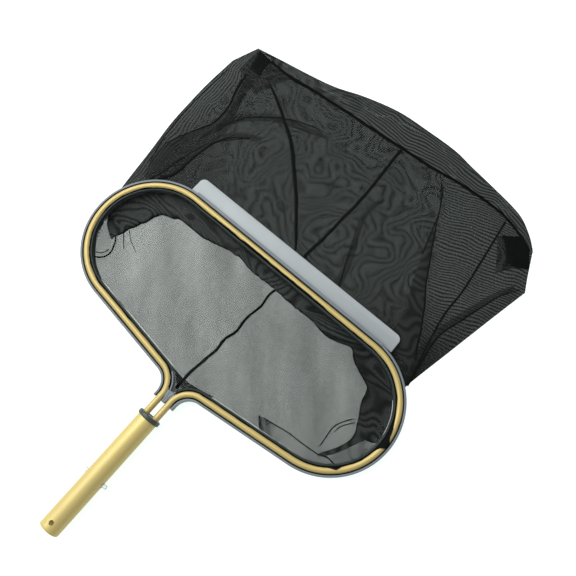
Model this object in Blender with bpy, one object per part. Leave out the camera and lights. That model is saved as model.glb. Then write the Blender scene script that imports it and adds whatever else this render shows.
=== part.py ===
"""Leaf skimmer net: a flat aluminium hoop with a deep mesh bag, a scoop lip and a short pole handle.

Everything is modelled about the net's own reference point, the centre of the handle plug's front
face: X across the hoop, Y from the handle towards the bag, Z up. One empty then carries it all, so
that the part's origin is under the middle of the whole net, on the surface that it lies on.
Units are metres.
"""

import math

import bmesh
import bpy
from mathutils import Matrix, Vector

# Whole net
AXIS_HEIGHT = 0.017  # handle axis above the surface that the net lies on
BAG_REACH = 0.570  # plug face to the bag's far edge
HANDLE_LENGTH = 0.183  # plug face to the handle's open end
GAP = 0.0003  # clearance between pieces that touch

# Handle tube
HANDLE_RADIUS = 0.0143
HANDLE_WALL = 0.0013
CROSS_HOLE_RADIUS = 0.0033
CROSS_HOLE_FROM_END = 0.0116
HANDLE_SIDES = 48

# Plug
FLANGE_RADIUS = 0.0165
FLANGE_THICKNESS = 0.006
FLANGE_ROUND = 0.0018
PLUG_DEPTH = 0.046

# Frame tube
TUBE_RADIUS = 0.00475
TUBE_WALL = 0.0012
TUBE_SIDES = 12
LEG_HALF_SPACING = 0.008
LEG_INSERT = 0.044
NECK_BEND_RADIUS = 0.031
ARM_SWEEP = math.radians(7.8)  # the rear arms lean this far towards the bag
ARM_START_Y = 0.0544  # where the arms' centre lines would meet
HALF_WIDTH = 0.2525
REAR_CORNER_RADIUS = 0.092
FRONT_Y = 0.2598
ARC_STEP = math.radians(10)

# Fasteners
PIN_RADIUS = 0.002
PIN_LENGTH = 0.0248
PIN_DEPTH = 0.036
RIVET_DEPTH = 0.022
RIVET_HEAD_RADIUS = 0.004
RIVET_HEAD_HEIGHT = 0.0015
RIVET_DOME = ((0.85, 0.6), (0.5, 1))  # share of the head radius, share of its height

# Spring clip
CLIP_Y = -0.057
CLIP_HALF_SPACING = 0.0024
CLIP_THICKNESS = 0.0018
CLIP_HALF_HEIGHT = 0.0032
BUTTON_RADIUS = 0.0028
BUTTON_BASE = Vector((0.0104, -0.103))
BUTTON_TIP_X = 0.0206
BUTTON_HOLE_RADIUS = 0.0039
BUTTON_HOLE_Y = -0.1029
ARM_PAST_BUTTON = 0.003
ARM_GAP = 0.0005  # from the bend to the arm
BUTTON_DOME = ((0.60, 1), (0.27, 0.86), (0, 0.45))  # radii below the tip, share of the radius

# Rim channel, hem and lip: sections as (outward, up) from the tube's centre
CHANNEL_START_Y = 0.0225
SLOT_HALF = 0.00605
CHANNEL_OUTER = 0.00865
CHANNEL_INNER = 0.00775
CHANNEL_TOP = 0.003
CHANNEL_FLOOR = -0.0061
CHANNEL_BOTTOM = -0.0083
CHANNEL_NIP = 0.00035  # the slot's edges lean in by this much
NIP_DEPTH = 0.0008
NIP_FADE = 0.0018
CHANNEL_EDGE = 0.0006
HEM_OUTER = 0.00565
HEM_INNER = 0.00505
HEM_TOP = 0.0034
HEM_LEAN = 0.0005
HEM_STRAIGHT = 0.0006  # the hem stands straight up to this height
HEM_CHAMFER = 0.00105
HEM_INNER_CHAMFER = 0.0008
LIP_CENTRE_X = 0.003
LIP_HALF_LENGTH = 0.182
LIP_REACH = 0.294
LIP_CORNER = 0.008
LIP_BOTTOM = -0.0062
LIP_THICKNESS = 0.0022
RAIL_HALF_LENGTH = 0.168
RAIL_TOP = 0.0046
RAIL_WALL = 0.0014
RAIL_SET_IN = 0.0001

# Bag
SHEET = 0.0008
BAG_TOP = -0.0090
WALL_TOP = -0.0089
WALL_OFFSET = -0.0065
SHEET_OFFSET = -0.00725
SIDE_CORNER = Vector((0.281, 0.463))
SEAM_END = Vector((0.262, 0.496))
SEAM_CENTRE_Y = 0.524
SEAM_WIDTH = 0.003
SEAM_THICKNESS = 0.0016
FAR_END = Vector((0.262, 0.510))
BAND_STEPS = 24
CENTRE_GAP = 0.0012  # half of the gap between the left and right walls at the neck
WALL_CLEARANCE = 0.001
TAPE_WIDTH = 0.005
TAPE_THICKNESS = 0.0006
PATCH_CENTRE = Vector((0.236, 0.482))
PATCH_SIZE = 0.036
PATCH_TURN = math.radians(40)
REAR_SEAM = ((0, 0.068), (0.004, 0.160), (0.010, 0.250), (0.011, 0.380), (0.011, 0.518))
SIDE_SEAM = ((0.208, 0.300), (0.222, 0.380), (0.228, 0.448))
BAND_SECTION = (  # share of the band's width, height in sheet thicknesses
    (0, 0), (0.95, 0), (1, 1.2), (0.96, 3.2), (0, None), (0, -1), (0.90, 2.2), (0.92, 1), (0, 1))

UP = Vector((0, 0, 1))
SURFACE = -AXIS_HEIGHT


def clear_scene():
    for obj in list(bpy.data.objects):
        bpy.data.objects.remove(obj, do_unlink=True)


def make_material(name, colour, roughness, metallic=0.0, transmission=0.0):
    material = bpy.data.materials.new(name)
    material.use_nodes = True
    shader = material.node_tree.nodes["Principled BSDF"]
    shader.inputs["Base Color"].default_value = (*colour, 1)
    shader.inputs["Roughness"].default_value = roughness
    shader.inputs["Metallic"].default_value = metallic
    shader.inputs["Transmission Weight"].default_value = transmission
    material.diffuse_color = (*colour, 1)
    return material


def make_object(name, bm, material, parent, location=(0, 0, 0), smooth=35):
    """Turns a bmesh into a named object under the parent, with its faces pointing out."""
    bmesh.ops.recalc_face_normals(bm, faces=bm.faces)
    mesh = bpy.data.meshes.new(name)
    bm.to_mesh(mesh)
    bm.free()
    mesh.materials.append(material)
    mesh.shade_smooth()
    mesh.set_sharp_from_angle(angle=math.radians(smooth))
    obj = bpy.data.objects.new(name, mesh)
    bpy.context.collection.objects.link(obj)
    obj.parent = parent
    obj.location = location
    return obj


def add_cylinder(bm, radius, start, end, sides=24):
    """Adds a closed cylinder to bm, from the point start to the point end."""
    start = Vector(start)
    axis = Vector(end) - start
    turn = UP.rotation_difference(axis).to_matrix().to_4x4()
    place = Matrix.Translation(start + axis / 2) @ turn
    bmesh.ops.create_cone(
        bm, cap_ends=True, segments=sides, radius1=radius, radius2=radius,
        depth=axis.length, matrix=place)


def make_cutter(name, radius, start, end, parent, sides=24):
    bm = bmesh.new()
    add_cylinder(bm, radius, start, end, sides)
    mesh = bpy.data.meshes.new(name)
    bm.to_mesh(mesh)
    bm.free()
    cutter = bpy.data.objects.new(name, mesh)
    bpy.context.collection.objects.link(cutter)
    cutter.parent = parent
    cutter.hide_render = True
    cutter.display_type = "WIRE"
    return cutter


def join_shape(obj, other, operation):
    modifier = obj.modifiers.new(other.name, "BOOLEAN")
    modifier.object = other
    modifier.operation = operation
    modifier.solver = "EXACT"


def add_revolved(bm, profile, sides):
    """Adds the body made by turning a closed profile of (radius, y) points about the Y axis."""
    rings = []
    for step in range(sides):
        angle = 2 * math.pi * step / sides
        ring = [bm.verts.new((r * math.cos(angle), y, r * math.sin(angle))) for r, y in profile]
        rings.append(ring)
    count = len(profile)
    for step in range(sides):
        here, there = rings[step], rings[(step + 1) % sides]
        for i in range(count):
            j = (i + 1) % count
            bm.faces.new((here[i], here[j], there[j], there[i]))


def sweep(stations, profile):
    """Closed body: a profile of (outward, up) points carried along stations, with flat ends."""
    bm = bmesh.new()
    rings = []
    for point, outward in stations:
        ring = []
        for out, up in profile:
            at = point + outward * out
            ring.append(bm.verts.new((at.x, at.y, up)))
        rings.append(ring)
    count = len(profile)
    for here, there in zip(rings, rings[1:]):
        for i in range(count):
            j = (i + 1) % count
            bm.faces.new((here[i], here[j], there[j], there[i]))
    bm.faces.new(rings[0])
    bm.faces.new(rings[-1])
    return bm


def sweep_tube(stations, outer, inner, sides):
    """Hollow tube with open ends, carried along stations."""
    bm = bmesh.new()
    skins = []
    for radius in (outer, inner):
        rings = []
        for point, outward in stations:
            ring = []
            for step in range(sides):
                angle = 2 * math.pi * (step + 0.5) / sides
                at = point + outward * radius * math.cos(angle)
                ring.append(bm.verts.new((at.x, at.y, radius * math.sin(angle))))
            rings.append(ring)
        for here, there in zip(rings, rings[1:]):
            for i in range(sides):
                j = (i + 1) % sides
                bm.faces.new((here[i], here[j], there[j], there[i]))
        skins.append(rings)
    for end in (0, -1):
        for i in range(sides):
            j = (i + 1) % sides
            bm.faces.new((skins[0][end][i], skins[0][end][j], skins[1][end][j], skins[1][end][i]))
    return bm


def extrude_outline(outline, bottom, top):
    """Closed plate from a plan outline of (x, y) points."""
    bm = bmesh.new()
    low = [bm.verts.new((x, y, bottom)) for x, y in outline]
    high = [bm.verts.new((x, y, top)) for x, y in outline]
    bm.faces.new(low)
    bm.faces.new(high)
    for i in range(len(outline)):
        j = (i + 1) % len(outline)
        bm.faces.new((low[i], low[j], high[j], high[i]))
    return bm


def arc(centre, radius, start, stop, outward_sign=1):
    """Stations along an arc: points, and the direction away from the hoop's mouth."""
    steps = max(2, round(abs(stop - start) / ARC_STEP))
    stations = []
    for step in range(steps + 1):
        angle = start + (stop - start) * step / steps
        radial = Vector((math.cos(angle), math.sin(angle)))
        stations.append((centre + radial * radius, radial * outward_sign))
    return stations


def corner_centre():
    """Centre of the rear corner's arc, tangent to the arm and to the hoop's side."""
    x = HALF_WIDTH - REAR_CORNER_RADIUS
    y = ARM_START_Y + (x * math.sin(ARM_SWEEP) + REAR_CORNER_RADIUS) / math.cos(ARM_SWEEP)
    return Vector((x, y))


def neck_centre():
    """Centre of the neck bend's arc, tangent to the leg and to the arm."""
    x = LEG_HALF_SPACING + NECK_BEND_RADIUS
    y = ARM_START_Y + (x * math.sin(ARM_SWEEP) - NECK_BEND_RADIUS) / math.cos(ARM_SWEEP)
    return Vector((x, y))


def neck_bend():
    return arc(neck_centre(), NECK_BEND_RADIUS, math.pi, math.pi / 2 + ARM_SWEEP, -1)


def rear_corner():
    return arc(corner_centre(), REAR_CORNER_RADIUS, ARM_SWEEP - math.pi / 2, 0)


def front_corner():
    radius = FRONT_Y - corner_centre().y
    centre = Vector((HALF_WIDTH - radius, corner_centre().y))
    return arc(centre, radius, 0, math.pi / 2)[1:]


def mirrored(stations):
    """The same stations on the other side of the net, in the opposite order."""
    return [(Vector((-p.x, p.y)), Vector((-o.x, o.y))) for p, o in reversed(stations)]


def hoop(start_y):
    """Stations round the whole hoop, from the right leg to the left leg."""
    leg = [(Vector((LEG_HALF_SPACING, start_y)), Vector((1, 0)))]
    right = leg + neck_bend() + rear_corner() + front_corner()
    return right + mirrored(right)


def offset(stations, distance):
    return [point + outward * distance for point, outward in stations]


def both_signs(function, *args):
    for sign, side in ((-1, "left"), (1, "right")):
        function(sign, side, *args)


# Handle -------------------------------------------------------------------------------------


def handle_tube(material, root):
    back = -HANDLE_LENGTH
    front = -FLANGE_THICKNESS - GAP
    bore = HANDLE_RADIUS - HANDLE_WALL
    bm = bmesh.new()
    add_revolved(
        bm, [(HANDLE_RADIUS, back), (HANDLE_RADIUS, front), (bore, front), (bore, back)],
        HANDLE_SIDES)
    tube = make_object("handle_tube", bm, material, root)
    reach = 1.5 * HANDLE_RADIUS
    hole_y = CROSS_HOLE_FROM_END - HANDLE_LENGTH
    cuts = (
        ("cut_cross_hole", CROSS_HOLE_RADIUS, (0, hole_y, -reach), (0, hole_y, reach)),
        ("cut_button_holes", BUTTON_HOLE_RADIUS, (-reach, BUTTON_HOLE_Y, 0),
         (reach, BUTTON_HOLE_Y, 0)),
        ("cut_rivet_hole", PIN_RADIUS + GAP, (0, -RIVET_DEPTH, -reach),
         (0, -RIVET_DEPTH, -bore / 2)),
    )
    for name, radius, start, end in cuts:
        join_shape(tube, make_cutter(name, radius, start, end, root), "DIFFERENCE")


def handle_plug(material, root):
    body = HANDLE_RADIUS - HANDLE_WALL - GAP
    corner = []
    for step in range(4):
        angle = math.pi / 2 * step / 3
        corner.append((math.sin(angle), math.cos(angle)))
    rim = FLANGE_RADIUS - FLANGE_ROUND
    front = [(rim + FLANGE_ROUND * s, -FLANGE_ROUND + FLANGE_ROUND * c) for s, c in corner]
    back = [(rim + FLANGE_ROUND * s, -FLANGE_THICKNESS + FLANGE_ROUND - FLANGE_ROUND * c)
            for s, c in reversed(corner)]
    profile = [(0, 0)] + front + back + [
        (body, -FLANGE_THICKNESS), (body, -PLUG_DEPTH), (0, -PLUG_DEPTH)]
    bm = bmesh.new()
    rings = []
    for step in range(HANDLE_SIDES):
        angle = 2 * math.pi * step / HANDLE_SIDES
        across, up = math.cos(angle), math.sin(angle)
        rings.append([bm.verts.new((r * across, y, r * up)) for r, y in profile[1:-1]])
    poles = (bm.verts.new((0, 0, 0)), bm.verts.new((0, -PLUG_DEPTH, 0)))
    for step in range(HANDLE_SIDES):
        here, there = rings[step], rings[(step + 1) % HANDLE_SIDES]
        bm.faces.new((poles[0], here[0], there[0]))
        bm.faces.new((poles[1], there[-1], here[-1]))
        for i in range(len(here) - 1):
            bm.faces.new((here[i], here[i + 1], there[i + 1], there[i]))
    plug = make_object("handle_plug", bm, material, root)
    for sign in (-1, 1):
        x = sign * LEG_HALF_SPACING
        cutter = make_cutter(f"cut_leg_bore_{sign}", TUBE_RADIUS + GAP, (x, -2 * PLUG_DEPTH, 0),
                             (x, PLUG_DEPTH, 0), root)
        join_shape(plug, cutter, "DIFFERENCE")
    hole = PIN_RADIUS + GAP
    pin = make_cutter("cut_plug_pin", hole, (-PIN_LENGTH, -PIN_DEPTH, 0),
                      (PIN_LENGTH, -PIN_DEPTH, 0), root, 16)
    join_shape(plug, pin, "DIFFERENCE")
    rivet = make_cutter("cut_plug_rivet", hole, (0, -RIVET_DEPTH, -2 * HANDLE_RADIUS),
                        (0, -RIVET_DEPTH, -TUBE_RADIUS), root, 16)
    join_shape(plug, rivet, "DIFFERENCE")


def leg_cross_pin(material, root):
    bm = bmesh.new()
    half = PIN_LENGTH / 2
    add_cylinder(bm, PIN_RADIUS, (-half, -PIN_DEPTH, 0), (half, -PIN_DEPTH, 0), 16)
    make_object("leg_cross_pin", bm, material, root)


def plug_rivet(material, root):
    seat = -HANDLE_RADIUS - GAP
    profile = [(PIN_RADIUS, -TUBE_RADIUS - 2 * GAP), (PIN_RADIUS, seat), (RIVET_HEAD_RADIUS, seat)]
    profile += [(RIVET_HEAD_RADIUS * r, seat - RIVET_HEAD_HEIGHT * z) for r, z in RIVET_DOME]
    sides = 20
    bm = bmesh.new()
    rings = []
    for radius, z in profile:
        ring = []
        for step in range(sides):
            angle = 2 * math.pi * step / sides
            ring.append(bm.verts.new(
                (radius * math.cos(angle), -RIVET_DEPTH + radius * math.sin(angle), z)))
        rings.append(ring)
    for here, there in zip(rings, rings[1:]):
        for i in range(sides):
            j = (i + 1) % sides
            bm.faces.new((here[i], here[j], there[j], there[i]))
    bm.faces.new(rings[0])
    bm.faces.new(rings[-1])
    make_object("plug_rivet", bm, material, root)


# Spring clip --------------------------------------------------------------------------------


def clip_bend(material, root):
    half = CLIP_THICKNESS / 2
    steps = 12
    outline = []
    for radius, order in ((CLIP_HALF_SPACING + half, 1), (CLIP_HALF_SPACING - half, -1)):
        for step in range(steps + 1)[::order]:
            angle = math.pi * step / steps
            outline.append((radius * math.cos(angle), CLIP_Y + radius * math.sin(angle)))
    bm = extrude_outline(outline, -CLIP_HALF_HEIGHT, CLIP_HALF_HEIGHT)
    make_object("clip_bend", bm, material, root)


def clip_arm(sign, side, material, root):
    """One arm and its button; the object's origin is on the arm's flexing line."""
    pivot = Vector((CLIP_HALF_SPACING, CLIP_Y))
    along = (BUTTON_BASE - pivot).normalized()
    out = Vector((-along.y, along.x))
    length = (BUTTON_BASE - pivot).length
    start = along * ARM_GAP
    end = along * (length + ARM_PAST_BUTTON)
    half = out * CLIP_THICKNESS / 2
    corners = [start - half, end - half, end + half, start + half]
    bm = extrude_outline([(sign * c.x, c.y) for c in corners], -CLIP_HALF_HEIGHT, CLIP_HALF_HEIGHT)
    place = (sign * CLIP_HALF_SPACING, CLIP_Y, 0)
    arm = make_object(f"clip_arm_{side}", bm, material, root, place)
    base = along * length
    tip = base + out * ((BUTTON_TIP_X - BUTTON_BASE.x) / out.x)
    bm = bmesh.new()
    sides = 20
    rings = []
    rounds = [(base, 1)] + [(tip - out * BUTTON_RADIUS * low, scale) for low, scale in BUTTON_DOME]
    for centre, scale in rounds:
        ring = []
        for step in range(sides):
            angle = 2 * math.pi * step / sides
            at = centre + along * BUTTON_RADIUS * scale * math.cos(angle)
            ring.append(bm.verts.new(
                (sign * at.x, at.y, BUTTON_RADIUS * scale * math.sin(angle))))
        rings.append(ring)
    for here, there in zip(rings, rings[1:]):
        for i in range(sides):
            j = (i + 1) % sides
            bm.faces.new((here[i], here[j], there[j], there[i]))
    bm.faces.new(rings[0])
    bm.faces.new(rings[-1])
    button = make_object(f"button_shape_{side}", bm, material, root, place)
    button.hide_render = True
    button.display_type = "WIRE"
    join_shape(arm, button, "UNION")


# Hoop ---------------------------------------------------------------------------------------


def frame_tube(material, root):
    bm = sweep_tube(hoop(-LEG_INSERT), TUBE_RADIUS, TUBE_RADIUS - TUBE_WALL, TUBE_SIDES)
    tube = make_object("frame_tube", bm, material, root)
    hole = PIN_RADIUS + GAP
    cutter = make_cutter("cut_leg_pin_holes", hole, (-PIN_LENGTH, -PIN_DEPTH, 0),
                         (PIN_LENGTH, -PIN_DEPTH, 0), root, 16)
    join_shape(tube, cutter, "DIFFERENCE")


def rim_channel(material, root):
    edge, nip, slot = CHANNEL_EDGE, CHANNEL_NIP, SLOT_HALF
    top, floor, bottom = CHANNEL_TOP, CHANNEL_FLOOR, CHANNEL_BOTTOM
    profile = []
    for sign, skin in ((1, CHANNEL_OUTER), (-1, CHANNEL_INNER)):
        half = [
            (skin - 2 * edge, bottom), (skin, bottom + 2 * edge), (skin, top - edge),
            (skin - edge, top), (slot - nip, top), (slot - nip, top - NIP_DEPTH),
            (slot, top - NIP_FADE), (slot, floor)]
        profile += [(sign * out, up) for out, up in half[::sign]]
    make_object("rim_channel", sweep(hoop(CHANNEL_START_Y), profile), material, root)


def bag_hem_band(material, root):
    """Cloth between the tube and the channel: a U whose two edges stand up beside the tube."""
    outer, inner = HEM_OUTER, HEM_INNER
    half = [
        (outer - HEM_CHAMFER, -outer), (outer, HEM_CHAMFER - outer), (outer, HEM_STRAIGHT),
        (outer - HEM_LEAN, HEM_TOP), (inner - HEM_LEAN, HEM_TOP), (inner, HEM_STRAIGHT),
        (inner, HEM_INNER_CHAMFER - inner), (inner - HEM_INNER_CHAMFER, -inner)]
    profile = half + [(-out, up) for out, up in reversed(half)]
    make_object("bag_hem_band", sweep(hoop(CHANNEL_START_Y), profile), material, root)


def scoop_lip(material, root):
    near = FRONT_Y + CHANNEL_OUTER + GAP
    centre, half = LIP_CENTRE_X, LIP_HALF_LENGTH
    outline = [(centre - half, near), (centre + half, near)]
    for sign, start in ((1, 0), (-1, math.pi / 2)):
        middle = Vector((centre + sign * (half - LIP_CORNER), LIP_REACH - LIP_CORNER))
        for step in range(7):
            angle = start + math.pi / 2 * step / 6
            at = middle + Vector((math.cos(angle), math.sin(angle))) * LIP_CORNER
            outline.append((at.x, at.y))
    bm = extrude_outline(outline, LIP_BOTTOM, LIP_BOTTOM + LIP_THICKNESS)
    lip = make_object("scoop_lip", bm, material, root)
    low, cap = LIP_BOTTOM + LIP_THICKNESS / 2, CHANNEL_TOP + GAP
    back = near + RAIL_SET_IN
    section = [
        (back, low), (near + RAIL_WALL, low), (near + RAIL_WALL, RAIL_TOP),
        (FRONT_Y + SLOT_HALF, RAIL_TOP), (FRONT_Y + SLOT_HALF, cap), (back, cap)]
    bm = bmesh.new()
    ends = []
    for x in (centre - RAIL_HALF_LENGTH, centre + RAIL_HALF_LENGTH):
        ends.append([bm.verts.new((x, y, z)) for y, z in section])
        bm.faces.new(ends[-1])
    for i in range(len(section)):
        j = (i + 1) % len(section)
        bm.faces.new((ends[0][i], ends[0][j], ends[1][j], ends[1][i]))
    rail = make_object("lip_rail_shape", bm, material, root)
    rail.hide_render = True
    rail.display_type = "WIRE"
    join_shape(lip, rail, "UNION")


# Bag ----------------------------------------------------------------------------------------


def seam_line(t):
    """Where the sheets meet the bottom band, for t from -1 at the left to 1 at the right."""
    return Vector((SEAM_END.x * t, SEAM_CENTRE_Y - (SEAM_CENTRE_Y - SEAM_END.y) * t * t))


def far_line(t):
    """The bag's far edge, as seam_line."""
    return Vector((FAR_END.x * t, BAG_REACH - (BAG_REACH - FAR_END.y) * t * t))


def band_steps():
    return [2 * step / BAND_STEPS - 1 for step in range(BAND_STEPS + 1)]


def rear_edge(distance):
    """Plan line offset from the right rear half of the hoop, from the neck to the hoop's side."""
    return [p for p in offset(neck_bend() + rear_corner(), distance) if p.x > CENTRE_GAP]


def path_stations(points):
    """Stations along a plan path; outward is square to the line between each point's neighbours."""
    stations = []
    for i, point in enumerate(points):
        before = points[max(i - 1, 0)]
        after = points[min(i + 1, len(points) - 1)]
        along = (after - before).normalized()
        stations.append((point, Vector((along.y, -along.x))))
    return stations


def bag_side_mesh(sign, side, material, root):
    path = rear_edge(WALL_OFFSET) + [SIDE_CORNER, SEAM_END + Vector((WALL_CLEARANCE, 0))]
    stations = path_stations(path)
    if sign < 0:
        stations = mirrored(stations)
    half = SHEET / 2
    profile = [(-half, SURFACE), (half, SURFACE), (half, WALL_TOP), (-half, WALL_TOP)]
    make_object(f"bag_side_mesh_{side}", sweep(stations, profile), material, root)


def mirrored_outline(points):
    """Closes an outline from its right half, which runs from the rear to the front."""
    return [(p.x, p.y) for p in points] + [(-p.x, p.y) for p in reversed(points)]


def sheet_end():
    """Right side of both sheets' far end: the side corner, then the edge beside the seam."""
    margin = SEAM_WIDTH / 2 + GAP
    seam = [seam_line(t) - Vector((0, margin)) for t in band_steps() if t > 0]
    return [SIDE_CORNER - Vector((WALL_CLEARANCE, 0))] + seam[::-1]


def bag_rear_mesh(material, root):
    outline = rear_edge(SHEET_OFFSET) + sheet_end()
    bm = extrude_outline(mirrored_outline(outline), SURFACE, SURFACE + SHEET)
    make_object("bag_rear_mesh", bm, material, root)


def bag_front_mesh(material, root):
    under_front = offset(front_corner(), WALL_OFFSET)
    outline = under_front[::-1] + sheet_end()
    bm = extrude_outline(mirrored_outline(outline), BAG_TOP - SHEET, BAG_TOP)
    make_object("bag_front_mesh", bm, material, root)


def bottom_seam(name, bottom, material, root):
    half = SEAM_WIDTH / 2
    stations = [(seam_line(t), Vector((0, 1))) for t in band_steps()]
    profile = [(-half, bottom), (half, bottom), (half, bottom + SEAM_THICKNESS),
               (-half, bottom + SEAM_THICKNESS)]
    make_object(name, sweep(stations, profile), material, root)


def bag_bottom_band(material, root):
    """Folded strip along the far edge: a C section, open towards the inside of the bag."""
    near = SEAM_WIDTH / 2 + GAP
    section = []
    for along, sheets in BAND_SECTION:
        from_top = sheets is None or sheets < 0
        base = BAG_TOP if from_top else SURFACE
        section.append((along, base + SHEET * (sheets or 0)))
    bm = bmesh.new()
    rings = []
    for t in band_steps():
        start = seam_line(t) + Vector((0, near))
        reach = far_line(t) - start
        ring = []
        for along, up in section:
            at = start + reach * along
            ring.append(bm.verts.new((at.x, at.y, up)))
        rings.append(ring)
    count = len(section)
    for here, there in zip(rings, rings[1:]):
        for i in range(count):
            j = (i + 1) % count
            bm.faces.new((here[i], here[j], there[j], there[i]))
    bm.faces.new(rings[0])
    bm.faces.new(rings[-1])
    make_object("bag_bottom_band", bm, material, root)


def tape(name, points, bottom, material, root):
    half = TAPE_WIDTH / 2
    profile = [(-half, bottom), (half, bottom), (half, bottom + TAPE_THICKNESS),
               (-half, bottom + TAPE_THICKNESS)]
    make_object(name, sweep(path_stations(points), profile), material, root)


def rear_seam_tape(material, root):
    points = [Vector(point) for point in REAR_SEAM]
    tape("rear_seam_tape", points, SURFACE + SHEET + GAP, material, root)


def side_seam_tape(sign, side, material, root):
    points = [Vector((sign * x, y)) for x, y in SIDE_SEAM]
    tape(f"side_seam_tape_{side}", points, BAG_TOP + GAP, material, root)


def corner_patch(sign, side, material, root):
    outline = []
    for step in range(4):
        angle = PATCH_TURN + math.pi / 2 * step
        spread = Vector((math.cos(angle), math.sin(angle))) * PATCH_SIZE / math.sqrt(2)
        outline.append((sign * (PATCH_CENTRE.x + spread.x), PATCH_CENTRE.y + spread.y))
    bottom = BAG_TOP + GAP + TAPE_THICKNESS + GAP
    bm = extrude_outline(outline, bottom, bottom + SHEET)
    make_object(f"corner_patch_{side}", bm, material, root)


# Assembly -----------------------------------------------------------------------------------


def main():
    clear_scene()
    root = bpy.data.objects.new("net_reference", None)
    bpy.context.collection.objects.link(root)
    root.location = (0, (HANDLE_LENGTH - BAG_REACH) / 2, AXIS_HEIGHT)

    gold = make_material("gold_anodised_aluminium", (0.76, 0.58, 0.24), 0.36, 0.9)
    dark_plastic = make_material("dark_grey_plastic", (0.06, 0.075, 0.068), 0.45)
    channel_plastic = make_material("blue_grey_plastic", (0.26, 0.31, 0.35), 0.5)
    lip_plastic = make_material("light_grey_plastic", (0.48, 0.51, 0.53), 0.5)
    clip_plastic = make_material("clear_white_plastic", (0.8, 0.82, 0.82), 0.3, 0, 0.4)
    mesh_cloth = make_material("black_mesh", (0.012, 0.014, 0.013), 0.8)
    seam_cloth = make_material("black_seam_tape", (0.006, 0.007, 0.006), 0.85)
    steel = make_material("stainless_steel", (0.55, 0.55, 0.55), 0.3, 1)

    handle_tube(gold, root)
    handle_plug(dark_plastic, root)
    leg_cross_pin(steel, root)
    plug_rivet(steel, root)
    clip_bend(clip_plastic, root)
    both_signs(clip_arm, clip_plastic, root)
    frame_tube(gold, root)
    rim_channel(channel_plastic, root)
    scoop_lip(lip_plastic, root)
    bag_hem_band(seam_cloth, root)
    bag_rear_mesh(mesh_cloth, root)
    bag_front_mesh(mesh_cloth, root)
    both_signs(bag_side_mesh, mesh_cloth, root)
    bag_bottom_band(mesh_cloth, root)
    bottom_seam("bottom_seam_rear", SURFACE, seam_cloth, root)
    bottom_seam("bottom_seam_front", BAG_TOP - SEAM_THICKNESS / 2 - SHEET / 2, seam_cloth, root)
    rear_seam_tape(seam_cloth, root)
    both_signs(side_seam_tape, seam_cloth, root)
    both_signs(corner_patch, mesh_cloth, root)


main()
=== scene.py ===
import math

import bmesh
import bpy
import numpy as np
from mathutils import Matrix, Vector, noise


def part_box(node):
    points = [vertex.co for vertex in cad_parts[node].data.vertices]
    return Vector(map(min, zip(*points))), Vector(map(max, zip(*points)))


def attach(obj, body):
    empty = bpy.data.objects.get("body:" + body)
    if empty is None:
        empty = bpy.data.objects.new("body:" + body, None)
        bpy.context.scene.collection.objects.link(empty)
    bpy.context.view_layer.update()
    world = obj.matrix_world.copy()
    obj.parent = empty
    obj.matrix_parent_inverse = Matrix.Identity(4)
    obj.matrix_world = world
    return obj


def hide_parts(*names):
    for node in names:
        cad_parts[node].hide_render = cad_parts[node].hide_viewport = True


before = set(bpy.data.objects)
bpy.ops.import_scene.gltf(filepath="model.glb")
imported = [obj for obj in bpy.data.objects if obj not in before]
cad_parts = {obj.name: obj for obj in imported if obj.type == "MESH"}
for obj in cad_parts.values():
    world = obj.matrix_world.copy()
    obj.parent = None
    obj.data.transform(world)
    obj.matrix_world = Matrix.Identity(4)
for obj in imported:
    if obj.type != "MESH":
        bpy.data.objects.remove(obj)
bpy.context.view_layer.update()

# Every length below is in millimetres in the net's own plan: X across the hoop, Y from the handle
# plug's front face towards the bag, and Z up from the surface that the net lies on.
PLUG_LOW, PLUG_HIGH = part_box("handle_plug")
PLUG_FACE_Y = PLUG_HIGH[1]
AXIS_Z = (PLUG_LOW[2] + PLUG_HIGH[2]) * 500
HANDLE_BACK = (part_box("handle_tube")[0][1] - PLUG_FACE_Y) * 1000

HANDLE_RADIUS = 14.3
HANDLE_WALL = 1.3
FLANGE_RADIUS = 16.5
FLANGE_THICKNESS = 6
TUBE_RADIUS = 4.75
LEG_X = 8
NECK_RADIUS = 31
ARM_SWEEP = math.radians(7.8)
ARM_START_Y = 54.4
HALF_WIDTH = 252.5
REAR_RADIUS = 92
FRONT_Y = 259.8
CHANNEL_START_Y = 22.5
HEM_START, HEM_END = 17, 36  # path along the channel that the hem leaves bare at each leg
MOUTH = Vector((0, 150))  # the bag's cloth is laid out on rays from this point

ZONE_COVER = 0.08  # wider threads where the lines run straight
ZONE_WOBBLE = 6.0  # cycles by which those lines wander
ZONE_PAINTED_LIGHT = 0.6  # and how far they lighten the threads' colour, as painted light
PITCH = 1.0  # weave of the net
STREAK_TURN = math.radians(-40)  # way that the slow waves run in the net


# Small tools ----------------------------------------------------------------------------------


def place(points):
    """Millimetres in the net's plan to metres in the frame."""
    out = np.array(points, float).reshape(-1, 3) / 1000
    out[:, 1] += PLUG_FACE_Y
    return out


def smooth(low, high, value):
    t = min(1, max(0, (value - low) / (high - low)))
    return t * t * (3 - 2 * t)


def wave(x, y, size, seed):
    """Smooth noise in plan, from about -1 to 1, with features of that size."""
    return noise.noise(Vector((x / size, y / size, seed * 7.31)))


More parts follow.
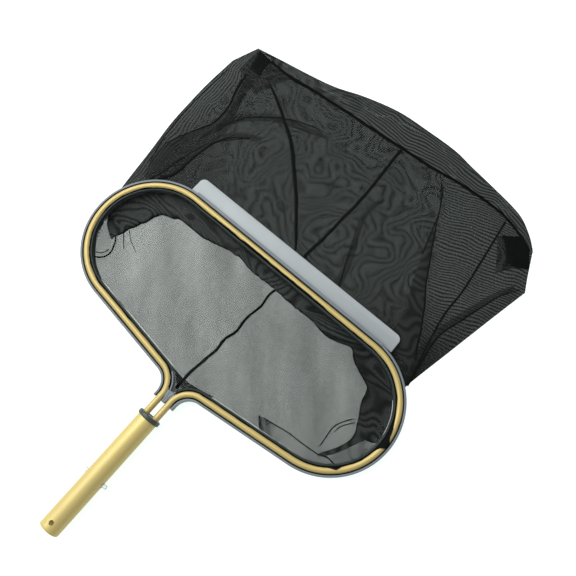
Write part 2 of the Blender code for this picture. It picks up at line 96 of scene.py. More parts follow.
def make_piece(name, points, faces, material, flow=None, body="net", closed=True,
               sharp=38):
    """Mesh piece from points in millimetres; flow is the material's own coordinates, in metres."""
    mesh = bpy.data.meshes.new(name)
    mesh.from_pydata([tuple(p) for p in place(points)], [], faces)
    if flow is not None:
        values = np.array(flow, float).reshape(-1, 3) / 1000
        layer = mesh.attributes.new("flow", "FLOAT_VECTOR", "POINT")
        layer.data.foreach_set("vector", values.astype(np.float32).ravel())
    if closed:
        bm = bmesh.new()
        bm.from_mesh(mesh)
        bmesh.ops.recalc_face_normals(bm, faces=bm.faces)
        bm.to_mesh(mesh)
        bm.free()
    mesh.shade_smooth()
    mesh.set_sharp_from_angle(angle=math.radians(sharp))
    mesh.materials.append(material)
    piece = bpy.data.objects.new(name, mesh)
    bpy.context.collection.objects.link(piece)
    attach(piece, body)
    return piece


def fillet(points, radius, steps=3, closed=True):
    """Rounds the corners of a polyline."""
    points = [Vector(p) for p in points]
    count = len(points)
    out = []
    for i, corner in enumerate(points):
        if not closed and i in (0, count - 1):
            out.append(corner)
            continue
        before, after = points[i - 1] - corner, points[(i + 1) % count] - corner
        reach = min(radius, before.length * 0.45, after.length * 0.45)
        start, end = corner + before.normalized() * reach, corner + after.normalized() * reach
        for step in range(steps + 1):
            t = step / steps
            out.append(start * (1 - t) ** 2 + corner * 2 * t * (1 - t) + end * t * t)
    return out


def arc(centre, radius, start, stop, sign=1, step=math.radians(2.5)):
    """(point, outward) pairs along an arc."""
    count = max(3, round(abs(stop - start) / step))
    out = []
    for i in range(count + 1):
        angle = start + (stop - start) * i / count
        radial = Vector((math.cos(angle), math.sin(angle)))
        out.append((centre + radial * radius, radial * sign))
    return out


def densify(stations, longest=6.0):
    """Adds stations on long straights."""
    out = [stations[0]]
    for (a, na), (b, nb) in zip(stations, stations[1:]):
        count = max(1, math.ceil((b - a).length / longest))
        for i in range(1, count + 1):
            t = i / count
            out.append((a.lerp(b, t), na.lerp(nb, t).normalized()))
    return out


def hoop(start_y):
    """Stations round the hoop's tube, from the right leg to the left one."""
    sweep_sin, sweep_cos = math.sin(ARM_SWEEP), math.cos(ARM_SWEEP)
    neck_x = LEG_X + NECK_RADIUS
    neck = Vector((neck_x, ARM_START_Y + (neck_x * sweep_sin - NECK_RADIUS) / sweep_cos))
    rear_x = HALF_WIDTH - REAR_RADIUS
    rear = Vector((rear_x, ARM_START_Y + (rear_x * sweep_sin + REAR_RADIUS) / sweep_cos))
    front_radius = FRONT_Y - rear.y
    front = Vector((HALF_WIDTH - front_radius, rear.y))
    right = [(Vector((LEG_X, start_y)), Vector((1, 0)))]
    right += arc(neck, NECK_RADIUS, math.pi, math.pi / 2 + ARM_SWEEP, -1)
    right += arc(rear, REAR_RADIUS, ARM_SWEEP - math.pi / 2, 0)
    right += arc(front, front_radius, 0, math.pi / 2)[1:]
    left = [(Vector((-p.x, p.y)), Vector((-o.x, o.y))) for p, o in reversed(right)]
    return densify(right + left)


def trimmed(stations, cut, cut_end=None):
    """Stations without that length of path at each end."""
    along = lengths([p for p, _ in stations])
    last = along[-1] - (cut if cut_end is None else cut_end)
    return [station for station, s in zip(stations, along) if cut <= s <= last]


def lengths(points):
    total, out = 0.0, [0.0]
    for a, b in zip(points, points[1:]):
        total += (b - a).length
        out.append(total)
    return out


def sweep(name, stations, section, material, closed=True, body="net", base=None):
    """Carries a section of (out, up) points along stations. section may be a function of the
    length so far, and closed says that it is a loop, which gets end caps."""
    base = AXIS_Z if base is None else base
    along = lengths([p for p, _ in stations])
    points, flow, faces = [], [], []
    for (point, outward), s in zip(stations, along):
        ring = section(s) if callable(section) else section
        for out, up in ring:
            at = point + outward * out
            points.append((at.x, at.y, base + up))
            flow.append((s, out, up))
    count = len(ring)
    for i in range(len(stations) - 1):
        for j in range(count if closed else count - 1):
            k = (j + 1) % count
            a, b = i * count, (i + 1) * count
            faces.append((a + j, a + k, b + k, b + j))
    if closed:
        faces.append(tuple(range(count)))
        faces.append(tuple(range(len(points) - count, len(points))))
    return make_piece(name, points, faces, material, flow, body, closed)


def circle(radius, sides):
    return [(radius * math.cos(2 * math.pi * i / sides), radius * math.sin(2 * math.pi * i / sides))
            for i in range(sides)]


def revolve(profile, sides):
    """Points, faces and flow of a closed (radius, y) profile turned about the handle's axis."""
    points, flow, faces = [], [], []
    count = len(profile)
    for i in range(sides):
        angle = 2 * math.pi * i / sides
        for r, y in profile:
            points.append((r * math.cos(angle), y, AXIS_Z + r * math.sin(angle)))
            flow.append((y, r * math.cos(angle), r * math.sin(angle)))
    for i in range(sides):
        a, b = i * count, (i + 1) % sides * count
        for j in range(count):
            k = (j + 1) % count
            faces.append((a + j, a + k, b + k, b + j))
    return points, faces, flow


def cylinder_cutter(radius, start, end, sides=48):
    """Hidden cylinder for a Boolean, between two points in millimetres."""
    ends = [Vector(p) for p in place([start, end])]
    axis = ends[1] - ends[0]
    turn = Vector((0, 0, 1)).rotation_difference(axis).to_matrix().to_4x4()
    bm = bmesh.new()
    bmesh.ops.create_cone(bm, cap_ends=True, segments=sides, radius1=radius / 1000,
                          radius2=radius / 1000, depth=axis.length,
                          matrix=Matrix.Translation((ends[0] + ends[1]) / 2) @ turn)
    mesh = bpy.data.meshes.new("cutter")
    bm.to_mesh(mesh)
    bm.free()
    cutter = bpy.data.objects.new("cutter", mesh)
    bpy.context.collection.objects.link(cutter)
    return cutter


def cut(piece, cutters):
    """Subtracts the cutters, applies the result and removes them."""
    for cutter in cutters:
        modifier = piece.modifiers.new("cut", "BOOLEAN")
        modifier.object = cutter
        modifier.operation = "DIFFERENCE"
        modifier.solver = "EXACT"
    apply_modifiers(piece)
    for cutter in cutters:
        bpy.data.objects.remove(cutter, do_unlink=True)


def apply_modifiers(piece):
    bpy.context.view_layer.update()
    graph = bpy.context.evaluated_depsgraph_get()
    mesh = bpy.data.meshes.new_from_object(piece.evaluated_get(graph))
    piece.modifiers.clear()
    piece.data = mesh


# Materials ------------------------------------------------------------------------------------


class Nodes:
    """Short way to write a material's nodes."""

    def __init__(self, name, **shader):
        self.material = bpy.data.materials.new(name)
        self.material.use_nodes = True
        self.tree = self.material.node_tree
        self.shader = self.tree.nodes["Principled BSDF"]
        for key, value in shader.items():
            self.shader.inputs[key.replace("_", " ")].default_value = value

    def add(self, kind, inputs=(), out=0, **props):
        """Adds a node, sets its properties and inputs, and gives one output."""
        made = self.tree.nodes.new("ShaderNode" + kind)
        for key, value in props.items():
            setattr(made, key, value)
        for key, value in dict(inputs).items():
            if isinstance(value, bpy.types.NodeSocket):
                self.tree.links.new(value, made.inputs[key])
            else:
                made.inputs[key].default_value = value
        return made.outputs[out]

    def math(self, operation, a, b=0.5):
        return self.add("Math", {0: a, 1: b}, operation=operation)

    def flow(self, stretch=(1, 1, 1)):
        """The piece's own coordinates, scaled along each axis."""
        vector = self.add("Attribute", attribute_name="flow", out=1)
        return self.add("VectorMath", {0: vector, 1: stretch}, operation="MULTIPLY")

    def place(self, stretch=(1, 1, 1)):
        """Object coordinates, scaled along each axis."""
        vector = self.add("TexCoord", out=3)
        return self.add("VectorMath", {0: vector, 1: stretch}, operation="MULTIPLY")

    def noise(self, vector, scale, detail=3, rough=0.55):
        return self.add("TexNoise", {"Vector": vector, "Scale": scale, "Detail": detail,
                                     "Roughness": rough})

    def remap(self, value, low, high, to_low=0.0, to_high=1.0, kind="LINEAR"):
        return self.add("MapRange", {"Value": value, "From Min": low, "From Max": high,
                                     "To Min": to_low, "To Max": to_high},
                        interpolation_type=kind)

    def mix(self, factor, a, b):
        """Colour a to colour b."""
        made = self.tree.nodes.new("ShaderNodeMix")
        made.data_type = "RGBA"
        for socket, value in ((0, factor), (6, a), (7, b)):
            if isinstance(value, bpy.types.NodeSocket):
                self.tree.links.new(value, made.inputs[socket])
            elif socket == 0:
                made.inputs[0].default_value = value
            else:
                made.inputs[socket].default_value = (*value, 1)
        return made.outputs[2]

    def set(self, **links):
        for key, value in links.items():
            self.tree.links.new(value, self.shader.inputs[key.replace("_", " ")])

    def bump(self, height, distance, strength=0.6):
        normal = self.add("Bump", {"Height": height, "Distance": distance,
                                   "Strength": strength})
        self.set(Normal=normal)


def gold_material(name, stretch, tone):
    """Satin anodised aluminium with fine lines along the extrusion and light handling marks."""
    n = Nodes(name, Metallic=0.3, Roughness=0.48)
    lines = n.noise(n.flow(stretch), 900, 4, 0.6)
    cloud = n.noise(n.flow(), 24, 3)
    marks = n.remap(n.noise(n.flow((1, 3, 3)), 160, 5, 0.7), 0.68, 0.78)
    warm = tuple(c * k for c, k in zip(tone, (0.95, 0.965, 1.03)))
    deep = tuple(c * k for c, k in zip(tone, (0.76, 0.71, 0.62)))
    worn = tuple(c * k for c, k in zip(tone, (0.64, 0.60, 0.56)))
    tint = n.mix(n.remap(cloud, 0.35, 0.65), tone, warm)
    fine = n.mix(n.remap(lines, 0.3, 0.7, 0, 0.16), tint, deep)
    n.set(Base_Color=n.mix(n.math("MULTIPLY", marks, 0.2), fine, worn))
    rough = n.remap(lines, 0.3, 0.7, 0.44, 0.52)
    n.set(Roughness=n.math("ADD", rough, n.math("MULTIPLY", marks, 0.1)))
    n.bump(lines, 0.00002, 0.3)
    return n.material


def plastic_material(name, colour, dark, rough, grain=1400, depth=0.00004, shine=0.3):
    """Moulded or extruded plastic: fine grain, faint clouding and scuffs that catch the light."""
    n = Nodes(name, Roughness=rough)
    n.shader.inputs["Specular IOR Level"].default_value = shine
    cloud = n.noise(n.place(), 22, 4)
    grit = n.noise(n.place(), grain, 2)
    scuffs = n.remap(n.noise(n.place((0.35, 1, 1)), 210, 5, 0.75), 0.62, 0.72)
    tint = n.mix(n.remap(cloud, 0.3, 0.7), dark, colour)
    pale = tuple(min(1, c * 1.25 + 0.03) for c in colour)
    n.set(Base_Color=n.mix(n.math("MULTIPLY", scuffs, 0.3), tint, pale))
    spread = n.remap(grit, 0.3, 0.7, rough - 0.06, rough + 0.08)
    n.set(Roughness=n.math("ADD", spread, n.math("MULTIPLY", scuffs, 0.12)))
    n.bump(grit, depth, 0.5)
    return n.material


def clip_material():
    n = Nodes("clip_plastic", Roughness=0.32, Transmission_Weight=0.25, IOR=1.5)
    cloud = n.noise(n.place(), 90, 4)
    n.set(Base_Color=n.mix(cloud, (0.74, 0.77, 0.78), (0.86, 0.88, 0.88)))
    n.bump(n.noise(n.place(), 700, 3), 0.00005, 0.4)
    return n.material


def steel_material():
    n = Nodes("steel", Metallic=1.0, Roughness=0.3)
    turned = n.noise(n.place((1, 1, 6)), 800, 4)
    n.set(Base_Color=n.mix(turned, (0.45, 0.45, 0.45), (0.62, 0.61, 0.6)))
    n.set(Roughness=n.remap(turned, 0.3, 0.7, 0.25, 0.42))
    n.bump(turned, 0.00003)
    return n.material


def weave(n, pitch, cover, wander, seed, turn=0.0):
    """Threads of a plain weave, from 0 in a hole to 1 on a thread. cover may be a socket."""
    vector = n.add("Attribute", attribute_name="flow", out=1)
    vector = n.add("VectorRotate", {"Vector": vector, "Angle": turn}, rotation_type="Z_AXIS")
    shift = n.add("VectorMath", {0: vector, 1: (seed * 0.37, seed * 0.11, seed * 0.23)},
                  operation="ADD")
    drift = n.add("TexNoise", {"Vector": shift, "Scale": 13.0, "Detail": 1.6,
                               "Roughness": 0.45}, out=1)
    drift = n.add("VectorMath", {0: drift, 1: (0.5, 0.5, 0.5)}, operation="SUBTRACT")
    drift = n.add("VectorMath", {0: drift, "Scale": wander / 1000}, operation="SCALE")
    cells = n.add("VectorMath", {0: vector, 1: drift}, operation="ADD")
    cells = n.add("VectorMath", {0: cells, "Scale": 1000 / pitch}, operation="SCALE")
    split = n.tree.nodes.new("ShaderNodeSeparateXYZ")
    n.tree.links.new(cells, split.inputs[0])
    low, high = n.math("SUBTRACT", cover, 0.07), n.math("ADD", cover, 0.07)
    threads = []
    for axis in (0, 1):
        across = n.math("MULTIPLY", n.math("PINGPONG", split.outputs[axis], 0.5), 2.0)
        threads.append(n.remap(across, low, high, 1.0, 0.0, "SMOOTHSTEP"))
    return n.math("MAXIMUM", threads[0], threads[1])


def contours(n, cycles, seed):
    """The wood-grain lines that two layers of the weave make together, from -1 to 1."""
    vector = n.add("VectorMath", {0: n.flow(), 1: (seed * 0.7, seed * 0.3, 0)}, operation="ADD")
    field = n.noise(vector, 10.0, 2.0, 0.42)
    return n.math("SINE", n.math("MULTIPLY", field, 2 * math.pi * cycles))


def hatch(n, way, spacing, wobble=0.5):
    """Parallel lines across a direction in the cloth, from -1 to 1, with the spacing in metres."""
    ramp = n.add("VectorMath", {0: n.flow(), 1: way}, out=1, operation="DOT_PRODUCT")
    bend = n.noise(n.flow(), 17.0, 1.5, 0.4)
    cycles = n.math("ADD", n.math("DIVIDE", ramp, spacing), n.math("MULTIPLY", bend, wobble))
    return n.math("SINE", n.math("MULTIPLY", cycles, 2 * math.pi))


def net_material(name, cover, seed, grain=0.0, cycles=20, wander=2.0, turn=0.0, streaks=0.0,
                 lean=0.0, zones=(), glints=0.0, pale=(), dark=(), painted_sheen=0.3, tone=1.0,
                 specks=0.0):
    """Open black mesh: real holes between the threads. grain is how far the contour lines widen
    the threads, and streaks how far slow waves in the cloth do. lean widens them along X, per
    metre. A zone is (direction, start, end, way, spacing) of straight lines in place of them.
    pale lists (point, radius, strength) of spots lifted to a painted highlight that follows the
    contour lines, and dark lists such spots pressed down to painted shade. sheen is how far the
    contour lines lighten the threads' colour: painted light for the bright lines that the two layers'
    holes let through. tone scales the threads' colour, and specks is how far fine noise darkens it."""
    n = Nodes(name, Roughness=0.75)
    n.shader.inputs["Specular IOR Level"].default_value = 0.1
    grain_way = n.add("VectorRotate", {"Vector": n.flow(), "Angle": STREAK_TURN},
                      rotation_type="Z_AXIS")
    grain_way = n.add("VectorMath", {0: grain_way, 1: (1, 0.25, 1)}, operation="MULTIPLY")
    patches = n.noise(grain_way, 26, 2, 0.4)
    width = n.remap(patches, 0.25, 0.75, cover - streaks, cover + streaks)
    if lean:
        ramp = n.add("VectorMath", {0: n.flow(), 1: (lean, 0, 0)}, out=1,
                     operation="DOT_PRODUCT")
        width = n.math("ADD", width, ramp)
    zone = None
    if grain:
        lines = contours(n, cycles, seed)
        for aim, start, end, way, spacing in zones:
            reach = n.add("VectorMath", {0: n.flow(), 1: aim}, out=1, operation="DOT_PRODUCT")
            share = n.remap(reach, start, end, kind="SMOOTHSTEP")
            straight = n.math("MULTIPLY", share, hatch(n, way, spacing, ZONE_WOBBLE))
            zone = share if zone is None else n.math("MAXIMUM", zone, share)
            width = n.math("ADD", width, n.math("MULTIPLY", share, ZONE_COVER))
            rest = n.math("MULTIPLY", n.math("SUBTRACT", 1.0, share), lines)
            lines = n.math("ADD", straight, rest)
        width = n.math("ADD", width, n.math("MULTIPLY", lines, grain))
    if glints:
        spots = n.remap(n.noise(n.flow((1, 1, 1)), 27, 2, 0.5), 0.60, 0.70)
        dots = n.math("MULTIPLY", hatch(n, (0.8, 0.6, 0), 0.0031, 0.1),
                      hatch(n, (-0.3, 0.95, 0), 0.0034, 0.1))
        spots = n.math("MULTIPLY", spots, n.math("MAXIMUM", dots, 0.0))
        width = n.math("SUBTRACT", width, n.math("MULTIPLY", spots, glints))
    threads = weave(n, PITCH, width, wander, seed, turn)
    n.set(Alpha=threads)
    colour = n.mix(patches, [c * tone for c in (0.002, 0.0030, 0.0027)],
                   [c * tone for c in (0.008, 0.0104, 0.0096)])
    if grain:
        # The contour lines lift the threads' colour: painted light for the bright lines seen through
        # the two layers of weave.
        colour = n.mix(n.remap(lines, -1, 0.6, 0, painted_sheen), colour, (0.034, 0.040, 0.0375))
    if zone is not None:
        # In the zones the straight lines lift the threads' colour further: painted light.
        lift = n.math("MULTIPLY", zone, n.remap(lines, -0.6, 1, 0, ZONE_PAINTED_LIGHT))
        colour = n.mix(lift, colour, (0.066, 0.072, 0.069))
    # pale spots: painted highlight on the threads' colour, stronger on the contour lines.
    for point, radius, strength in pale:
        away = n.add("VectorMath", {0: n.flow(), 1: point}, out=1, operation="DISTANCE")
        share = n.remap(away, 0, radius, strength, 0, "SMOOTHSTEP")
        share = n.math("MULTIPLY", share, n.remap(lines, -1, 1, 0.3, 1.0))
        colour = n.mix(share, colour, (0.036, 0.041, 0.039))
    # dark spots: painted shade on the threads' colour.
    for point, radius, strength in dark:
        away = n.add("VectorMath", {0: n.flow(), 1: point}, out=1, operation="DISTANCE")
        share = n.remap(away, 0, radius, strength, 0, "SMOOTHSTEP")
        colour = n.mix(share, colour, (0.0015, 0.0020, 0.0018))
    if specks:
        fine = n.remap(n.noise(n.flow(), 460, 2, 0.6), 0.35, 0.62, specks, 0)
        colour = n.mix(fine, colour, (0.0010, 0.0014, 0.0012))
    n.set(Base_Color=colour)
    n.bump(threads, 0.0002, 0.5)
    return n.material


def tape_material(name, colour=(0.0022, 0.0027, 0.0025), pitch=0.8):
    """Close-woven black cloth for seams, hems and patches."""
    n = Nodes(name, Roughness=0.8)
    n.shader.inputs["Specular IOR Level"].default_value = 0.05
    threads = weave(n, pitch, 0.55, 1.0, 5, math.radians(45))
    patches = n.noise(n.flow(), 120, 4)
    pale = tuple(c * 2 + 0.0004 for c in colour)
    lit = n.math("MULTIPLY", threads, n.remap(patches, 0.3, 0.7, 0.2, 0.9))
    n.set(Base_Color=n.mix(lit, colour, pale))
    n.set(Roughness=n.remap(patches, 0.3, 0.7, 0.62, 0.82))
    n.bump(threads, 0.0002, 0.7)
    return n.material


def floor_material():
    """Pale table lit from below, so that it stays white beside the net."""
    n = Nodes("pale_floor", Roughness=0.7, Emission_Strength=0.9,
              Emission_Color=(0.92, 1.0, 0.955, 1))
    n.shader.inputs["Specular IOR Level"].default_value = 0.1
    n.set(Base_Color=n.mix(n.noise(n.place(), 6, 3), (0.29, 0.29, 0.29), (0.31, 0.31, 0.31)))
    return n.material


GOLD_HANDLE = gold_material("gold_handle", (0.04, 1, 1), (0.505, 0.405, 0.143))
# The tube's gold is toned darker than the handle's: painted shade for the tube sunk between the
# channel's walls and the black hem.
GOLD_TUBE = gold_material("gold_tube", (0.03, 1, 1), (0.42, 0.33, 0.116))
CHANNEL_PLASTIC = plastic_material("channel_plastic", (0.128, 0.152, 0.17), (0.105, 0.128, 0.145),
                                   0.45)
LIP_PLASTIC = plastic_material("lip_plastic", (0.290, 0.318, 0.326), (0.268, 0.294, 0.302), 0.55,
                               900)
DARK_PLASTIC = plastic_material("plug_plastic", (0.040, 0.054, 0.050), (0.030, 0.042, 0.038), 0.4)
CLIP_PLASTIC = clip_material()
STEEL = steel_material()
NET_LOWER = net_material("net_lower", 0.515, 1, wander=1.0, streaks=0.07, lean=0.3,
                         glints=0.10)
# The upper sheet's threads carry painted light: lifted along its contour and zone lines, a painted
# highlight round the pale points and painted shade round the dark ones.
NET_UPPER = net_material(
    "net_upper", 0.82, 1, grain=0.07, cycles=24, wander=1.0, turn=math.radians(20), painted_sheen=0.95,
    specks=0.45,
    zones=(((0.89, 0.456, 0), 0.312, 0.326, (-0.32, 0.95, 0), 0.0044),
           ((-1, 0, 0), 0.240, 0.254, (1, 0.12, 0), 0.0050)),
    pale=(((-0.125, 0.200, 0), 0.125, 1.0), ((0.0, 0.225, 0), 0.09, 0.5)),
    dark=(((0.210, 0.250, 0), 0.150, 0.9), ((-0.225, 0.285, 0), 0.100, 0.5)))
# The band's threads carry painted light along their contour and zone lines.
NET_BAND = net_material("net_band", 0.72, 3, grain=0.08, cycles=20, turn=math.radians(2),
                        painted_sheen=0.95, specks=0.35,
                        zones=(((1, 0, 0), -0.25, 0.0, (0, 1, 0), 0.0050),))
NET_FACING = net_material("net_facing", 0.30, 7, grain=0.10, cycles=15)
# The fold lining's threads are lifted strongly along the contour lines: a painted highlight for the
# folded layers lit from above.
NET_FOLD = net_material("net_fold", 0.50, 6, grain=0.15, cycles=30, painted_sheen=0.6, specks=0.6)
NET_WEDGE = net_material("net_wedge", 0.80, 8, grain=0.1, cycles=18)
# tone 4.5 lifts the hem's threads well above the black mesh: painted light, making up for the shade
# the hem lies in inside the channel.
NET_HEM = net_material("net_hem", 0.45, 4, streaks=0.08, tone=4.5)
NET_NECK = net_material("net_neck", 0.72, 9, streaks=0.08)
TAPE = tape_material("seam_tape")
PATCH_CLOTH = tape_material("patch_cloth", (0.0016, 0.0020, 0.0019), 1.1)


# Handle, plug and clip ------------------------------------------------------------------------


def make_handle():
    bore = HANDLE_RADIUS - HANDLE_WALL
    front = -FLANGE_THICKNESS - 0.3
    rows = 44
    edge = 0.35
    outer = [(HANDLE_RADIUS, HANDLE_BACK + edge + (front - HANDLE_BACK - 2 * edge) * i / rows)
             for i in range(rows + 1)]
    inner = [(bore, y) for _, y in reversed(outer)]
    rear_round = [(bore + edge * 0.3, HANDLE_BACK + edge * 0.3), (bore + edge, HANDLE_BACK),
                  (HANDLE_RADIUS - edge, HANDLE_BACK),
                  (HANDLE_RADIUS - edge * 0.3, HANDLE_BACK + edge * 0.3)]
    points, faces, flow = revolve(outer + [(HANDLE_RADIUS - 0.1, front), (bore, front)] + inner
                                  + rear_round, 96)
    tube = make_piece("handle", points, faces, GOLD_HANDLE, flow)
    reach = 2 * HANDLE_RADIUS
    hole_y = HANDLE_BACK + 11.6
    cut(tube, [
        cylinder_cutter(3.3, (0, hole_y, AXIS_Z - reach), (0, hole_y, AXIS_Z + reach)),
        cylinder_cutter(3.9, (-reach, -102.9, AXIS_Z), (reach, -102.9, AXIS_Z)),
        cylinder_cutter(2.3, (0, -22, AXIS_Z - reach), (0, -22, AXIS_Z - 5)),
    ])
    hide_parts("handle_tube")


def make_plug():
    body = HANDLE_RADIUS - HANDLE_WALL - 0.3
    shape = [(1.0, -0.9), (FLANGE_RADIUS - 4.4, -0.9), (FLANGE_RADIUS - 3.8, 0.0),
             (FLANGE_RADIUS, 0.0), (FLANGE_RADIUS, -FLANGE_THICKNESS),
             (body, -FLANGE_THICKNESS), (body, -45.5), (1.0, -45.5)]
    points, faces, flow = revolve([tuple(p) for p in fillet(shape, 1.6, 5)], 96)
    plug = make_piece("plug", points, faces, DARK_PLASTIC, flow)
    cut(plug, [cylinder_cutter(TUBE_RADIUS + 0.3, (x, -90, AXIS_Z), (x, 40, AXIS_Z))
               for x in (-LEG_X, LEG_X)])
    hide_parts("handle_plug")


def make_round(name, profile, origin, along, across, material, body="net", sides=32):
    """Turned piece: profile of (radius, height) from the origin, along a direction."""
    along, across = Vector(along).normalized(), Vector(across).normalized()
    third = along.cross(across)
    points, flow, faces = [], [], []
    for radius, height in profile:
        for i in range(sides):
            angle = 2 * math.pi * i / sides
            radial = across * math.cos(angle) + third * math.sin(angle)
            at = Vector(origin) + along * height + radial * radius
            points.append(tuple(at))
            flow.append((height, radius * math.cos(angle), radius * math.sin(angle)))
    for i in range(len(profile) - 1):
        for j in range(sides):
            k = (j + 1) % sides
            a, b = i * sides, (i + 1) * sides
            faces.append((a + j, a + k, b + k, b + j))
    faces.append(tuple(range(sides)))
    faces.append(tuple(range(len(points) - sides, len(points))))
    return make_piece(name, points, faces, material, flow, body)


def dome(radius, height, steps=6):
    """Rounded end of a turned piece: (radius, height) from the rim to near the tip."""
    out = []
    for i in range(steps + 1):
        angle = math.pi / 2 * i / steps * 0.93
        out.append((radius * math.cos(angle), height * math.sin(angle)))
    return out


def make_fasteners():
    pin = make_round("leg_pin", [(1.7, -12.4), (2.0, -12.1), (2.0, 12.1), (1.7, 12.4)],
                     (0, -36, AXIS_Z), (1, 0, 0), (0, 1, 0), STEEL)
    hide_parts("leg_cross_pin")
    seat = -HANDLE_RADIUS - 0.3
    head = [(r, -seat + h) for r, h in dome(4.0, 1.45)]
    rivet = make_round("rivet", [(2.0, 5.35), (2.0, -seat), (3.9, -seat)] + head,
                       (0, -22, AXIS_Z), (0, 0, -1), (1, 0, 0), STEEL)
    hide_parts("plug_rivet")


def strip(name, line, thick, half_height, material, body):
    """Flat strip standing on edge along a plan line, with rounded edges."""
    section = fillet([(thick / 2, -half_height), (thick / 2, half_height),
                      (-thick / 2, half_height), (-thick / 2, -half_height)], 0.5, 3)
    section = [tuple(p) for p in section]
    stations = []
    for i, point in enumerate(line):
        along = (line[min(i + 1, len(line) - 1)] - line[max(i - 1, 0)]).normalized()
        stations.append((point, Vector((along.y, -along.x))))
    return sweep(name, stations, section, material, True, body)


def make_clip():
    bend = [Vector((2.4 * math.cos(math.pi * i / 16), -57 + 2.4 * math.sin(math.pi * i / 16)))
            for i in range(17)]
    piece = strip("clip_bend_strip", bend, 1.8, 3.2, CLIP_PLASTIC, "net")
    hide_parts("clip_bend")
    for sign, side in ((-1, "left"), (1, "right")):
        pivot, base = Vector((2.4, -57)), Vector((10.4, -103))
        along = (base - pivot).normalized()
        out = Vector((-along.y, along.x))
        line = [pivot + along * (0.5 + 49.2 * i / 12) for i in range(13)]
        arm = strip(f"clip_arm_strip_{side}", [Vector((sign * p.x, p.y)) for p in line],
                    1.8, 3.2, CLIP_PLASTIC, f"clip_{side}")
        reach = (20.6 - base.x) / out.x
        profile = [(2.8, 0.2), (2.8, reach - 1.8)]
        profile += [(r, reach - 1.8 + h) for r, h in dome(2.8, 1.75)]
        button = make_round(f"button_{side}", profile, (sign * base.x, base.y, AXIS_Z),
                            (sign * out.x, out.y, 0), (0, 0, 1), CLIP_PLASTIC,
                            f"clip_{side}")
        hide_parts(f"clip_arm_{side}")
        button["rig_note"] = "part of the arm"


# Hoop -----------------------------------------------------------------------------------------


def make_frame_tube():
    tube = sweep("frame_tube_gold", hoop(-44), circle(TUBE_RADIUS, 32), GOLD_TUBE)
    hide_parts("frame_tube")


def make_channel():
    outer = [(7.45, -8.3), (8.65, -7.1), (8.65, 3.0), (5.7, 3.0), (5.7, 2.2), (6.05, 1.2),
             (6.05, -6.1)]
    inner = [(-x, z) for x, z in ((6.05, -6.1), (6.05, 1.2), (5.7, 2.2), (5.7, 3.0),
                                  (7.75, 3.0), (7.75, -7.1), (6.55, -8.3))]
    section = [tuple(p) for p in fillet(outer + inner, 0.55, 3)]
    channel = sweep("channel", hoop(CHANNEL_START_Y), section, CHANNEL_PLASTIC)
    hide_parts("rim_channel")
    web = [(-2.6, 23.5), (2.6, 23.5), (3.4, 30), (9, 38.5), (0, 41), (-9, 38.5), (-3.4, 30)]
    make_plate("channel_web", fillet(web, 1.2, 3), AXIS_Z - 5.6, AXIS_Z + 2.7, 0.4,
               CHANNEL_PLASTIC)


def make_plate(name, outline, bottom, top, edge, material):
    """Plate from a plan outline, with rounded top and bottom edges."""
    outline = [Vector(p) for p in outline]
    count = len(outline)
    normals = []
    for i in range(count):
        along = (outline[(i + 1) % count] - outline[i - 1]).normalized()
        normals.append(Vector((along.y, -along.x)))
    area = sum(a.x * b.y - b.x * a.y for a, b in zip(outline, outline[1:] + outline[:1]))
    inward = -1 if area > 0 else 1
    rounds = [(1.0, bottom), (0.3, bottom + edge * 0.3), (0, bottom + edge), (0, top - edge),
              (0.3, top - edge * 0.3), (1.0, top)]
    points, faces, flow = [], [], []
    for inset, z in rounds:
        for p, normal in zip(outline, normals):
            at = p + normal * inward * inset * edge
            points.append((at.x, at.y, z))
            flow.append((at.x, at.y, z))
    for i in range(len(rounds) - 1):
        for j in range(count):
            k = (j + 1) % count
            a, b = i * count, (i + 1) * count
            faces.append((a + j, a + k, b + k, b + j))
    faces.append(tuple(range(count)))
    faces.append(tuple(range(len(points) - count, len(points))))
    return make_piece(name, points, faces, material, flow, sharp=50)


def make_lip():
    near, far, middle, half = 269.1, 294.0, 3.0, 182.0
    corner = 8.5
    outline = [Vector((middle - half, near)), Vector((middle + half, near))]
    for sign, start in ((1, 0), (-1, math.pi / 2)):
        centre = Vector((middle + sign * (half - corner), far - corner))
        outline += [p for p, _ in arc(centre, corner, start, start + math.pi / 2)]
    lip = make_plate("lip_blade", outline, AXIS_Z - 6.2, AXIS_Z - 4.0, 0.7, LIP_PLASTIC)
    section = [(-0.1, -5.2), (1.3, -5.2), (1.3, 4.6), (-2.9, 4.6), (-2.9, 3.3), (-0.1, 3.3)]
    section = [tuple(p) for p in fillet(section, 0.45, 3)]
    ends = [Vector((middle + x, 268.75)) for x in np.linspace(-168, 168, 30)]
    rail = sweep("lip_rail", [(p, Vector((0, 1))) for p in ends], section, CHANNEL_PLASTIC)
    rail["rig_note"] = "one moulding with the lip"
    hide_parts("scoop_lip")


# Bag ------------------------------------------------------------------------------------------


def polar_table(points):
    """Sorted (angle, radius) of plan points about MOUTH, for a line seen from there."""
    table = []
    for point in points:
        ray = Vector(point) - MOUTH
        angle = math.atan2(ray.y, ray.x)
        if angle < -math.pi / 2:
            angle += 2 * math.pi
        table.append((angle, ray.length))
    return sorted(table)


def outline_radius(points):
    """Function giving the distance from MOUTH to a polyline in a given direction."""
    points = [Vector(p) - MOUTH for p in points]

    def at(angle):
        ray = Vector((math.cos(angle), math.sin(angle)))
        best = None
        for a, b in zip(points, points[1:]):
            edge = b - a
            det = ray.x * -edge.y + ray.y * edge.x
            if abs(det) < 1e-9:
                continue
            reach = (a.x * -edge.y + a.y * edge.x) / det
            t = (ray.x * a.y - ray.y * a.x) / det
            if -1e-6 <= t <= 1 + 1e-6 and reach > 0 and (best is None or reach > best):
                best = reach
        return best

    return at


